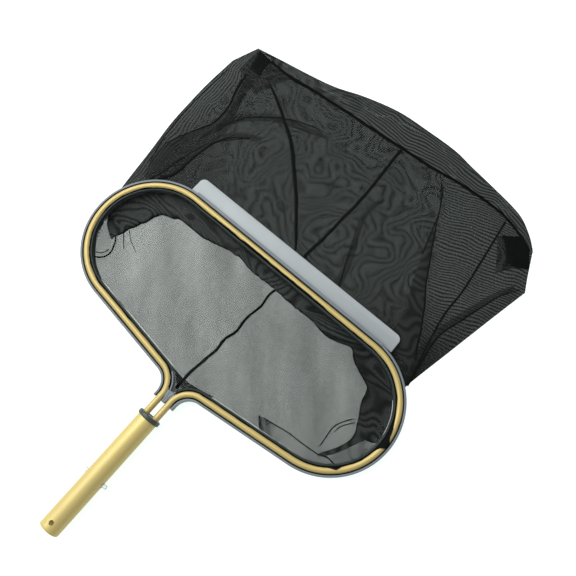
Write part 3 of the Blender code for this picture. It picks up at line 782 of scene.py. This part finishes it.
def curve(points, steps=6, corners=()):
    """Smooth line through points, with the listed ones left sharp."""
    points = [Vector(p) for p in points]
    out = []
    for i in range(len(points) - 1):
        p1, p2 = points[i], points[i + 1]
        p0 = points[i - 1] if i > 0 and i not in corners else p1 * 2 - p2
        p3 = points[i + 2] if i + 2 < len(points) and i + 1 not in corners else p2 * 2 - p1
        for step in range(steps):
            t = step / steps
            out.append(0.5 * (2 * p1 + (p2 - p0) * t + (2 * p0 - 5 * p1 + 4 * p2 - p3) * t * t
                              + (3 * p1 - p0 - 3 * p2 + p3) * t ** 3))
    out.append(points[-1])
    return out


# Plan of the bag as it lies
RIGHT_EDGE = [(243, 96), (240, 140), (228, 190), (228, 244), (244, 321), (262, 404), (274, 457),
              (264, 477), (250, 508)]
LEFT_EDGE = [(-268, 513), (-284, 471), (-286, 417), (-285, 377), (-282, 329), (-274, 276),
             (-264, 202), (-253, 160), (-244, 120), (-240, 96)]
SEAM = [(250, 508), (232, 517), (216, 523), (194, 530), (160, 533), (110, 531), (60, 525),
        (0, 521), (-43, 518), (-87, 516), (-130, 513), (-165, 510), (-199, 506), (-235, 508),
        (-268, 513)]
FAR = [(250, 508), (246, 516), (227, 533), (200, 548), (153, 557), (105, 564), (70, 569.5),
       (20, 569.5), (-32, 567), (-87, 554), (-132, 538), (-174, 529), (-229, 520), (-268, 513)]
FOLD = [(196, 105), (198, 110), (209, 128), (215, 143), (215, 152), (213, 162), (205, 177),
        (197, 191), (192, 207), (188, 215), (170, 222), (155, 229), (144, 239), (138, 241),
        (119, 234), (100, 231), (73, 235), (51, 234), (30, 234), (6, 235), (-32, 234),
        (-62, 238), (-83, 235), (-108, 229), (-125, 226), (-161, 226), (-173, 220),
        (-187, 215), (-192, 210), (-199, 191), (-210, 166), (-217, 147), (-219, 141)]
TAIL_RIGHT = [(197, 103), (210, 117), (219, 135), (227, 152), (231, 159), (240, 161.5),
              (251, 163)]
TAIL_LEFT = [(-250, 165), (-240, 152), (-229, 138), (-220, 140)]


def radius_line(table):
    angles = [a for a, _ in table]
    radii = [r for _, r in table]

    def at(angle):
        return float(np.interp(angle, angles, radii))

    return at


HOOP_INNER = [p - o * 8.3 for p, o in hoop(CHANNEL_START_Y)]
hem_radius = radius_line(polar_table([p for p in HOOP_INNER if p.y > 80]))
fold_radius = radius_line(polar_table(curve(FOLD, 4)))
tail_right = radius_line(polar_table(TAIL_RIGHT))
tail_left = radius_line(polar_table(TAIL_LEFT))
RIGHT_LINE = curve(RIGHT_EDGE, 5, (6,))
LEFT_LINE = curve(LEFT_EDGE, 5, (1,))
edge_radius = outline_radius(RIGHT_LINE + curve(SEAM, 5)[1:] + LEFT_LINE[1:])


def direction(x, y):
    """Angle of a plan point as seen from MOUTH, from -90 to 270 degrees."""
    angle = math.atan2(y - MOUTH.y, x - MOUTH.x)
    return angle if angle > -math.pi / 2 else angle + 2 * math.pi


FOLD_LOW, FOLD_HIGH = direction(*TAIL_RIGHT[0]), direction(*TAIL_LEFT[-1])
HEM_LOW, HEM_HIGH = direction(*TAIL_RIGHT[-1]), direction(*TAIL_LEFT[0])


def sheet_root(angle):
    """(distance from MOUTH, height) at which the upper sheet starts: the hem between the fold's
    two loose ends, and the loose end's own edge past them."""
    if angle < HEM_LOW:
        return tail_right(angle), 3.6
    if angle > HEM_HIGH:
        return tail_left(angle), 3.6
    return hem_radius(angle), AXIS_Z - 8


def ray_angles(count, corners):
    """Even angles across the upper sheet, with the nearest one moved on to each corner."""
    angles = [FOLD_LOW + (FOLD_HIGH - FOLD_LOW) * i / count for i in range(count + 1)]
    for corner in corners:
        goal = direction(*corner)
        nearest = min(range(1, count), key=lambda i: abs(angles[i] - goal))
        angles[nearest] = goal
    return angles


def upper_height(x, y):
    """Height of the bag's upper sheet beyond the mouth."""
    reach = edge_radius(direction(x, y)) or 400
    rise = smooth(-2, 34, reach - (Vector((x, y)) - MOUTH).length)
    under = smooth(300, 272, y) * smooth(290, 230, abs(x))
    ripple = 1.7 * wave(x, y, 46, 1) + 0.8 * wave(x, y, 19, 2)
    free = 6.4 + ripple + 1.2 * wave(x, y, 90, 3)
    pressed = 5.2 + 0.4 * ripple
    return 1.6 + rise * (free * (1 - under) + pressed * under - 1.6)


def lower_height(x, y):
    calm = 0.7 + 0.35 * wave(x, y, 40, 8)
    swell = 1.1 * max(0, wave(x, y, 70, 11)) * smooth(300, 240, y)
    return max(0.25, calm + swell)


def mouth_height(x, y):
    """Height of creases on the cloth inside the mouth."""
    return lower_height(x, y) + 0.5


def grid_faces(rows, columns):
    return [(i * columns + j, i * columns + j + 1, (i + 1) * columns + j + 1,
             (i + 1) * columns + j) for i in range(rows - 1) for j in range(columns - 1)]


def make_upper_sheet():
    """Cloth that hangs from the hoop's front half, folds inside the mouth and runs out to the
    bottom seam. Laid out on rays from MOUTH."""
    angles = ray_angles(340, (RIGHT_EDGE[6], RIGHT_EDGE[8], LEFT_EDGE[0], LEFT_EDGE[1]))
    outward, inner_rows = 84, 9
    points, flow = [], []
    for angle in angles:
        ray = Vector((math.cos(angle), math.sin(angle)))
        root, height = sheet_root(angle)
        fold = min(fold_radius(angle), root - 1.0)
        fold += 1.5 * wave(angle * 40, 0, 1.7, 21) * smooth(3, 20, root - fold)
        edge = max(edge_radius(angle) or 0, fold + 2)
        if not HEM_LOW < angle < HEM_HIGH:
            edge = root + 0.5
        for j in range(inner_rows):
            t = j / inner_rows
            reach = root + (fold - root) * t ** 1.2
            at = MOUTH + ray * reach
            drop = height + (3.2 - height) * t ** 0.8
            gather = 1.3 * wave(at.x, at.y, 16, 5) * math.sin(math.pi * t)
            points.append((at.x, at.y, max(1.9, drop + gather)))
            back = MOUTH + ray * (2 * fold - reach)
            flow.append((back.x, back.y, 0))
        for j in range(outward + 1):
            t = j / outward
            reach = fold + (edge - fold) * t
            at = MOUTH + ray * reach
            settle = smooth(0, 30, reach - fold)
            z = 2.2 * (1 - settle) + upper_height(at.x, at.y) * settle
            points.append((at.x, at.y, min(z, 8.2) if at.y < 271 else z))
            flow.append((at.x, at.y, 0))
    columns = inner_rows + outward + 1
    piece = make_piece("bag_upper_sheet", points, grid_faces(len(angles), columns), NET_UPPER,
                       flow, closed=False, sharp=180)
    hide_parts("bag_front_mesh", "bag_side_mesh_left", "bag_side_mesh_right")
    return piece


def make_fold_lining():
    """Spare cloth bunched inside the fold, which ends raggedly a little short of it."""
    count, rows = 300, 8
    points, flow = [], []
    for i in range(count + 1):
        angle = FOLD_LOW + (FOLD_HIGH - FOLD_LOW) * (0.01 + 0.98 * i / count)
        ray = Vector((math.cos(angle), math.sin(angle)))
        root, height = sheet_root(angle)
        fold = min(fold_radius(angle), root - 1.0)
        deep = root - fold
        s = angle * 220
        short = 0.22 + 0.20 * wave(s, 0, 14, 51) + 0.14 * wave(s, 0, 4.5, 52)
        short += 0.38 * smooth(math.radians(30), math.radians(42), angle) * smooth(
            math.radians(158), math.radians(140), angle)
        end = fold + deep * min(0.85, max(0.04, short))
        for j in range(rows + 1):
            t = j / rows
            at = MOUTH + ray * (root - 0.4 + (end - root + 0.4) * t)
            z = height - 1.2 + (2.9 - height) * t ** 0.8 + 0.8 * wave(at.x, at.y, 8, 53)
            points.append((at.x, at.y, max(1.2, z)))
            flow.append((at.x * 1.1, at.y * 1.1, 0))
    return make_piece("bag_fold_lining", points, grid_faces(count + 1, rows + 1), NET_FOLD,
                      flow, closed=False, sharp=180)


def make_lower_sheet():
    """Cloth under the mouth and the whole bag, from the hoop's rear half to the bottom seam."""
    edge_rise = 7.0
    rear_half = [p - o * (4.0 + 4.9 * smooth(215, 170, abs(p.x)))
                 for p, o in trimmed(hoop(CHANNEL_START_Y), 26)]
    rear = sorted((p for p in rear_half if abs(p.x) > 6 and p.y < 150),
                  key=lambda p: math.atan2(p.y - 150, p.x))
    rear = [Vector((-250, 150))] + rear + [Vector((250, 150))]
    left = curve(LEFT_EDGE[:8], 5, (1,))[::-1]
    right = curve([(250, 150), (249, 170), (238, 192), (228, 214)] + RIGHT_EDGE[3:], 5, (7,))
    left[0], right[0] = rear[0], rear[-1]
    far = curve(SEAM, 5)[::-1]

    def sampler(line, weight=1.0):
        sums = [0.0]
        for a, b in zip(line, line[1:]):
            sums.append(sums[-1] + abs(b.x - a.x) + weight * abs(b.y - a.y))

        def at(t):
            goal = t * sums[-1]
            return Vector((float(np.interp(goal, sums, [p.x for p in line])),
                           float(np.interp(goal, sums, [p.y for p in line]))))

        return at

    bottom, top = sampler(rear, 0.4), sampler(far)
    side_left, side_right = sampler(left), sampler(right)
    columns, rows = 150, 132
    points, flow = [], []
    for i in range(rows + 1):
        t = i / rows
        for j in range(columns + 1):
            s = j / columns
            blend = bottom(s) * (1 - t) + top(s) * t
            sides = side_left(t) * (1 - s) + side_right(t) * s
            corners = (bottom(0) * (1 - s) * (1 - t) + bottom(1) * s * (1 - t)
                       + top(0) * (1 - s) * t + top(1) * s * t)
            at = blend + sides - corners
            rise = edge_rise * (1 - t) ** 9 * smooth(215, 170, abs(at.x))
            points.append((at.x, at.y, lower_height(at.x, at.y) + rise))
            flow.append((at.x, at.y, 0))
    piece = make_piece("bag_lower_sheet", points, grid_faces(rows + 1, columns + 1), NET_LOWER,
                       flow, closed=False, sharp=180)
    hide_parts("bag_rear_mesh")
    return piece


def make_hem():
    """Mesh that comes up beside the tube, goes over the channel's inner wall and down inside."""
    stations = trimmed(hoop(CHANNEL_START_Y), HEM_START, HEM_END)

    def drape(s):
        lean = 0.35 * noise.noise(Vector((s / 9, 3, 0)))
        foot = 0.8 * noise.noise(Vector((s / 26, 9, 0)))
        return [(-5.4, 2.2), (-5.6 + lean, 3.5), (-6.4, 3.95), (-7.6, 3.8), (-8.25, 3.1),
                (-8.45, 1.0), (-8.5, -3.0), (-8.55, -7.0), (-8.7 + 0.3 * foot, -9.6)]

    piece = sweep("bag_hem_drape", stations, drape, NET_HEM, closed=False)
    return piece


def ribbon(name, inner, seed):
    """Close-woven edge of the hem beside the tube, lapping on to it here and there."""
    side = -1 if inner else 1
    stations = trimmed(hoop(CHANNEL_START_Y), HEM_START if inner else 2.5)
    along = lengths([p for p, _ in stations])
    laps = []
    for spot, reach, spread in (((251, 169), 8.5, 7.0), ((257, 184), 3.6, 16.0),
                                ((226, 105), 3.6, 6.0),
                                ((30, 260), 1.3, 90), ((-60, 260), 1.0, 60)):
        nearest = min(range(len(stations)),
                      key=lambda i: (stations[i][0] - Vector(spot)).length)
        laps.append((along[nearest], reach, spread))

    def section(s):
        n1 = noise.noise(Vector((s / 21, seed, 0)))
        n2 = noise.noise(Vector((s / 6, seed + 4, 0)))
        n3 = noise.noise(Vector((s / 90, seed + 8, 0)))
        lap = max(0, 1.0 + 1.1 * n1 + 0.7 * n2 + 1.3 * n3)
        if inner:
            lap += sum(reach * math.exp(-((s - at) / spread) ** 2) for at, reach, spread in laps)
            lap = min(lap, 10.4)
        else:
            lap *= 0.5
        foot, top = math.radians(-30), math.radians(29) + lap / TUBE_RADIUS
        turns = [foot + (top - foot) * i / 7 for i in range(8)]
        under = [(side * (TUBE_RADIUS + 0.3) * math.cos(a), (TUBE_RADIUS + 0.3) * math.sin(a))
                 for a in turns]
        over = [(side * (TUBE_RADIUS + 1.0) * math.cos(a), (TUBE_RADIUS + 1.0) * math.sin(a))
                for a in reversed(turns)]
        return under + over

    return sweep(name, stations, section, TAPE)


def surface_tape(name, line, width, height, lift, material=None, wander=0.0, seed=0,
                 thick=0.7):
    """Soft strip of cloth lying on a surface: width may be a function of the share along it."""
    line = curve(line, 10)
    sums = lengths(line)
    total = sums[-1]
    points, flow, faces = [], [], []
    for i, point in enumerate(line):
        along = (line[min(i + 1, len(line) - 1)] - line[max(i - 1, 0)]).normalized()
        across = Vector((along.y, -along.x))
        share = sums[i] / total
        half = (width(share) if callable(width) else width) / 2
        half *= 1 + 0.22 * noise.noise(Vector((sums[i] / 7, seed, 0)))
        centre = point + across * wander * noise.noise(Vector((sums[i] / 24, seed + 3, 0)))
        for out, up in ((-1, 0), (-0.8, 0.6), (0, 1), (0.8, 0.6), (1, 0)):
            at = centre + across * out * half
            z = height(at.x, at.y) + lift + up * thick
            points.append((at.x, at.y, z))
            flow.append((sums[i], out * half, 0))
    for i in range(len(line) - 1):
        for j in range(4):
            a, b = i * 5, (i + 1) * 5
            faces.append((a + j, a + j + 1, b + j + 1, b + j))
    return make_piece(name, points, faces, material or TAPE, flow, closed=False,
                      sharp=180)


def make_band():
    """The bottom band: a strip of mesh folded along the bag's far edge."""
    near = curve(SEAM, 6)
    far = curve(FAR, 6)

    def even(line, count):
        sums = lengths(line)
        xs, ys = [p.x for p in line], [p.y for p in line]
        return [Vector((float(np.interp(sums[-1] * i / count, sums, xs)),
                        float(np.interp(sums[-1] * i / count, sums, ys))))
                for i in range(count + 1)]

    count, rows = 220, 9
    near, far = even(near, count), even(far, count)
    points, flow = [], []
    for i, (a, b) in enumerate(zip(near, far)):
        deep = (b - a).length
        for j in range(2 * rows + 1):
            upper = j > rows
            t = j / rows if not upper else 2 - j / rows
            at = a.lerp(b, t)
            gap = 4.6 * (1 - t) ** 0.7 * smooth(0, 12, deep) + 0.5 * wave(at.x, at.y, 22, 31)
            z = 0.6 + (max(0.5, gap + 0.7) if upper else 0.0)
            if j == rows:
                z = 0.9
            points.append((at.x, at.y, z))
            flow.append((at.x, t * deep + (80 if upper else 0), 0))
    piece = make_piece("bag_band", points, grid_faces(count + 1, 2 * rows + 1), NET_BAND,
                       flow, closed=False, sharp=180)
    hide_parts("bag_bottom_band")
    return piece


def patch(name, corners, lift, height, material=None):
    """Square of close-woven cloth sewn over a corner, with a soft edge."""
    a, b, c, d = [Vector(p) for p in corners]
    steps = 14
    points, flow = [], []
    for i in range(steps + 1):
        for j in range(steps + 1):
            u, v = i / steps, j / steps
            at = (a * (1 - u) + b * u) * (1 - v) + (d * (1 - u) + c * u) * v
            rim = min(u, 1 - u, v, 1 - v)
            z = height(at.x, at.y) + lift + 0.8 * smooth(0, 0.15, rim)
            z += 0.6 * wave(at.x, at.y, 9, 41)
            points.append((at.x, at.y, z))
            flow.append((at.x, at.y, 0))
    return make_piece(name, points, grid_faces(steps + 1, steps + 1), material or PATCH_CLOTH,
                      flow, closed=False, sharp=180)


def layer(name, left, right, lift, height, material, rows=10):
    """Extra layer of cloth between two plan lines."""
    def even(line, count=60):
        line = curve(line, 8)
        sums = lengths(line)
        xs, ys = [p.x for p in line], [p.y for p in line]
        return [Vector((float(np.interp(sums[-1] * i / count, sums, xs)),
                        float(np.interp(sums[-1] * i / count, sums, ys))))
                for i in range(count + 1)]

    points, flow = [], []
    for a, b in zip(even(left), even(right)):
        for j in range(rows + 1):
            at = a.lerp(b, j / rows)
            bow = 0.9 * math.sin(math.pi * j / rows)
            points.append((at.x, at.y, height(at.x, at.y) + lift + bow))
            flow.append((at.x, at.y, 0))
    return make_piece(name, points, grid_faces(61, rows + 1), material, flow,
                      closed=False, sharp=180)


# Creases on the bag: plan line, and width along it
CREASES = {
    "fold_long": ([(-11, 290), (-11, 302), (-50, 349), (-77, 378), (-121, 420), (-157, 444),
                   (-188, 463), (-222, 480)], lambda s: 2.4 + 3.4 * math.sin(math.pi * s) ** 0.7),
    "fold_sharp": ([(215, 285), (205, 303), (187, 339), (165, 373), (143, 413), (121, 455),
                    (101, 495), (86, 514)], lambda s: 2.6 - 1.2 * s),
    "fold_soft": ([(89, 509), (110, 478), (121, 445), (132, 408)], lambda s: 1.6),
    "fold_short": ([(74, 296), (71, 301), (59, 330), (43, 368)], lambda s: 2.0 * (1 - 0.8 * s)),
    "fold_left": ([(-231, 250), (-219, 273), (-213, 321), (-204, 356), (-181, 380),
                   (-160, 390)], lambda s: 4.6 * (1 - s) + 0.6),
    "fold_left_top": ([(-241, 243), (-233, 267), (-227, 298), (-215, 335), (-198, 360),
                       (-172, 388)], lambda s: 1.8 * (1 - 0.7 * s)),
    "fold_corner": ([(-250, 480), (-244, 439), (-232, 403), (-232, 370), (-250, 333),
                     (-264, 299)], lambda s: 4.0 * (1 - s) + 0.6),
    "fold_across": ([(-222, 366), (-215, 379), (-200, 408), (-172, 432), (-156, 443),
                     (-132, 455), (-98, 466)], lambda s: 0.6 + 1.7 * math.sin(math.pi * s)),
    "fold_right": ([(229, 250), (220, 325), (231, 369), (248, 423), (265, 455)],
                   lambda s: 2.6 * (1 - s) + 0.8),
}
# Broad soft folds on the bag, of mesh like itself
SOFT_FOLDS = {
    "soft_left": ([(-236, 248), (-224, 275), (-217, 321), (-207, 358), (-184, 384), (-158, 396)],
                  lambda s: 15 - 9 * s),
    "soft_across": ([(-229, 352), (-219, 376), (-203, 404), (-176, 429), (-150, 441),
                     (-118, 452), (-84, 462)], lambda s: 5 + 8 * math.sin(math.pi * s)),
    "soft_corner": ([(-240, 470), (-232, 436), (-222, 404), (-219, 372), (-232, 338)],
                    lambda s: 14 - 6 * s),
    "soft_right": ([(222, 262), (216, 322), (226, 368), (243, 420), (258, 452)],
                   lambda s: 12 - 5 * s),
    "soft_middle": ([(70, 297), (62, 330), (44, 372), (34, 405), (40, 440)],
                    lambda s: 12 * (1 - 0.6 * s)),
}
# Creases and loops of cloth inside the mouth: plan line and width
LOOPS = {
    "loop_right_long": ([(191, 115), (190, 128), (189, 144), (193, 156), (203, 170)], 1.5),
    "loop_right_short": ([(194, 141), (197, 153), (207, 168)], 1.3),
    "crease_right": ([(112, 94), (129, 97), (155, 101), (180, 103), (197, 105)], 1.5),
    "loop_right_end": ([(196, 105), (209, 110), (222, 108)], 2.0),
    "loop_left_long": ([(-217, 147), (-211, 139), (-206, 126), (-209, 114), (-219, 106),
                        (-238, 104)], 2.4),
    "loop_left_short": ([(-211, 127), (-214, 118), (-225, 111), (-240, 111)], 1.3),
    "crease_left": ([(-214, 160), (-204, 150), (-195, 141)], 1.2),
    "crease_left_long": ([(-209, 166), (-195, 156), (-179, 149)], 0.9),
}


def make_bag():
    upper = make_upper_sheet()
    lining = make_fold_lining()
    lower = make_lower_sheet()
    band = make_band()
    hem = make_hem()
    edge_in = ribbon("hem_edge_inner", True, 2.0)
    edge_out = ribbon("hem_edge_outer", False, 5.0)
    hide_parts("bag_hem_band")

    seam_front = surface_tape("bottom_seam", [Vector(p) for p in SEAM[1:-1]],
                              lambda s: 4.4 + 2.4 * s, upper_height, 0.6, wander=1.2, seed=1)
    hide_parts("bottom_seam_front", "bottom_seam_rear")
    rear_seam = surface_tape(
        "rear_seam", [(-3, 46), (-4, 62), (-1, 90), (3, 118), (2, 140), (6, 160), (5, 182),
                      (9, 205), (7, 222), (10, 250), (11, 300)],
        lambda s: 4.6 - 1.6 * s, lower_height, 0.5, wander=1.8, seed=2, thick=1.3)
    centre_seam = surface_tape("front_seam", [(11, 268), (9, 299), (13, 360), (15, 422),
                                              (12, 480), (9, 521)], 4.4,
                               upper_height, 0.4, wander=0.8, seed=3)
    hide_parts("rear_seam_tape")
    folds = [surface_tape(name, line, width, upper_height, 0.5, wander=1.0, seed=i + 10)
             for i, (name, (line, width)) in enumerate(CREASES.items())]
    folds += [surface_tape(name, line, width, upper_height, 0.35, NET_FACING, 1.0, i + 50)
              for i, (name, (line, width)) in enumerate(SOFT_FOLDS.items())]
    loops = [surface_tape(name, line, width, mouth_height, 0.6, wander=0.8, seed=i + 30)
             for i, (name, (line, width)) in enumerate(LOOPS.items())]
    wedge = layer("fold_wedge", [(169, 282), (169, 298), (162, 327), (147, 367), (132, 408),
                                 (121, 445), (110, 478), (89, 509)],
                  [(222, 262), (205, 303), (187, 339), (165, 373), (143, 413), (121, 455),
                   (101, 495), (89, 509)], 0.4, upper_height, NET_WEDGE)
    facing = layer("fold_facing", [(-252, 478), (-244, 439), (-232, 403), (-232, 370),
                                   (-250, 333), (-264, 299), (-261, 264), (-250, 240)],
                   [(-236, 470), (-226, 430), (-212, 398), (-206, 368), (-217, 335),
                    (-228, 298), (-234, 267), (-238, 244)], 0.3, upper_height, NET_FACING)
    side_right = surface_tape("side_seam_right", [(227, 262), (218, 301), (208, 357),
                                                  (207, 401), (201, 453), (192, 525)], 2.6,
                              upper_height, 0.4, seed=7)
    side_left = surface_tape("side_seam_left", [(-262, 264), (-272, 300), (-279, 345),
                                                (-280, 400), (-278, 455)], 1.2, upper_height,
                             0.2, seed=8)
    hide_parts("side_seam_tape_right")
    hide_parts("side_seam_tape_left")
    left = patch("patch_left", [(-253, 477), (-263, 511), (-236, 508), (-229, 470)], 0.8,
                 upper_height)
    right = patch("patch_right", [(200, 502), (231, 528), (259, 488), (231, 470)], 0.8,
                  upper_height)
    turned_left = patch("patch_left_turning", [(-262, 462), (-266, 510), (-192, 508),
                                               (-216, 448)], 0.3, upper_height, NET_FOLD)
    turned_right = patch("patch_right_turning", [(196, 498), (226, 524), (254, 492), (226, 452)],
                         0.3, upper_height, NET_FOLD)
    neck = layer("neck_facing", [(-44, 68), (-23, 64.5), (-4, 62.5), (15, 64.5), (44, 71)],
                 [(-36, 62), (-22, 54), (-10, 43), (0, 37), (10, 43), (22, 54), (36, 62)], 0.8,
                 lower_height, NET_NECK)
    rear_facing = layer("rear_facing", [(104, 92), (129, 97), (155, 101), (180, 103),
                                        (197, 104), (210, 117), (220, 136), (229, 158)],
                        [(118, 78), (140, 81), (160, 84), (180, 87), (204, 96), (222, 110),
                         (238, 134), (243, 160)], 0.5, lower_height, NET_FACING)
    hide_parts("corner_patch_left")
    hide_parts("corner_patch_right")


# Studio ---------------------------------------------------------------------------------------


def make_stage():
    bm = bmesh.new()
    bmesh.ops.create_grid(bm, x_segments=8, y_segments=8, size=9)
    mesh = bpy.data.meshes.new("floor")
    bm.to_mesh(mesh)
    bm.free()
    mesh.materials.append(floor_material())
    floor = bpy.data.objects.new("floor", mesh)
    bpy.context.collection.objects.link(floor)


def make_light(name, size, power, position, target=(0, 0.1, 0)):
    data = bpy.data.lights.new(name, "AREA")
    data.shape = "DISK"
    data.size = size
    data.energy = power
    light = bpy.data.objects.new(name, data)
    bpy.context.collection.objects.link(light)
    light.location = position
    aim = Vector(target) - Vector(position)
    light.rotation_euler = aim.to_track_quat("-Z", "Y").to_euler()


BRIGHT_WAY = (-0.72, 0.05, 0.69)  # towards the brightest part of the surroundings


def make_world():
    world = bpy.data.worlds.new("studio")
    bpy.context.scene.world = world
    world.use_nodes = True
    tree = world.node_tree
    back = tree.nodes["Background"]
    back.inputs["Color"].default_value = (1, 1, 1, 1)
    spot = tree.nodes.new("ShaderNodeTexCoord")
    aim = tree.nodes.new("ShaderNodeVectorMath")
    aim.operation = "DOT_PRODUCT"
    aim.inputs[1].default_value = BRIGHT_WAY
    fade = tree.nodes.new("ShaderNodeMapRange")
    for key, value in (("From Min", -1), ("From Max", 1), ("To Min", 0.15), ("To Max", 0.76)):
        fade.inputs[key].default_value = value
    tree.links.new(spot.outputs["Generated"], aim.inputs[0])
    tree.links.new(aim.outputs["Value"], fade.inputs["Value"])
    tree.links.new(fade.outputs[0], back.inputs["Strength"])


def make_camera():
    """Looks down at the net from the side of its bag; measured from the net's own point."""
    data = bpy.data.cameras.new("camera")
    data.sensor_width = 36
    data.lens = 38.94
    data.clip_start = 0.01
    camera = bpy.data.objects.new("camera", data)
    bpy.context.collection.objects.link(camera)
    right = Vector((0.7573, 0.6529, -0.0163))
    up = Vector((-0.6266, 0.7333, 0.2637))
    turn = Matrix((right, up, right.cross(up))).transposed()
    spot = place([(180.21, 84.74, 822.55 + AXIS_Z)])[0]
    camera.matrix_world = Matrix.Translation(Vector(spot)) @ turn.to_4x4()
    bpy.context.scene.camera = camera


def main():
    scene = bpy.context.scene
    scene.view_settings.view_transform = "Standard"
    scene.cycles.transparent_max_bounces = 24
    make_camera()
    make_stage()
    make_world()
    make_light("key", 3.6, 193, (-2.2, 0.25, 2.95))
    make_handle()
    make_plug()
    make_fasteners()
    make_clip()
    make_frame_tube()
    make_channel()
    make_lip()
    make_bag()


main()
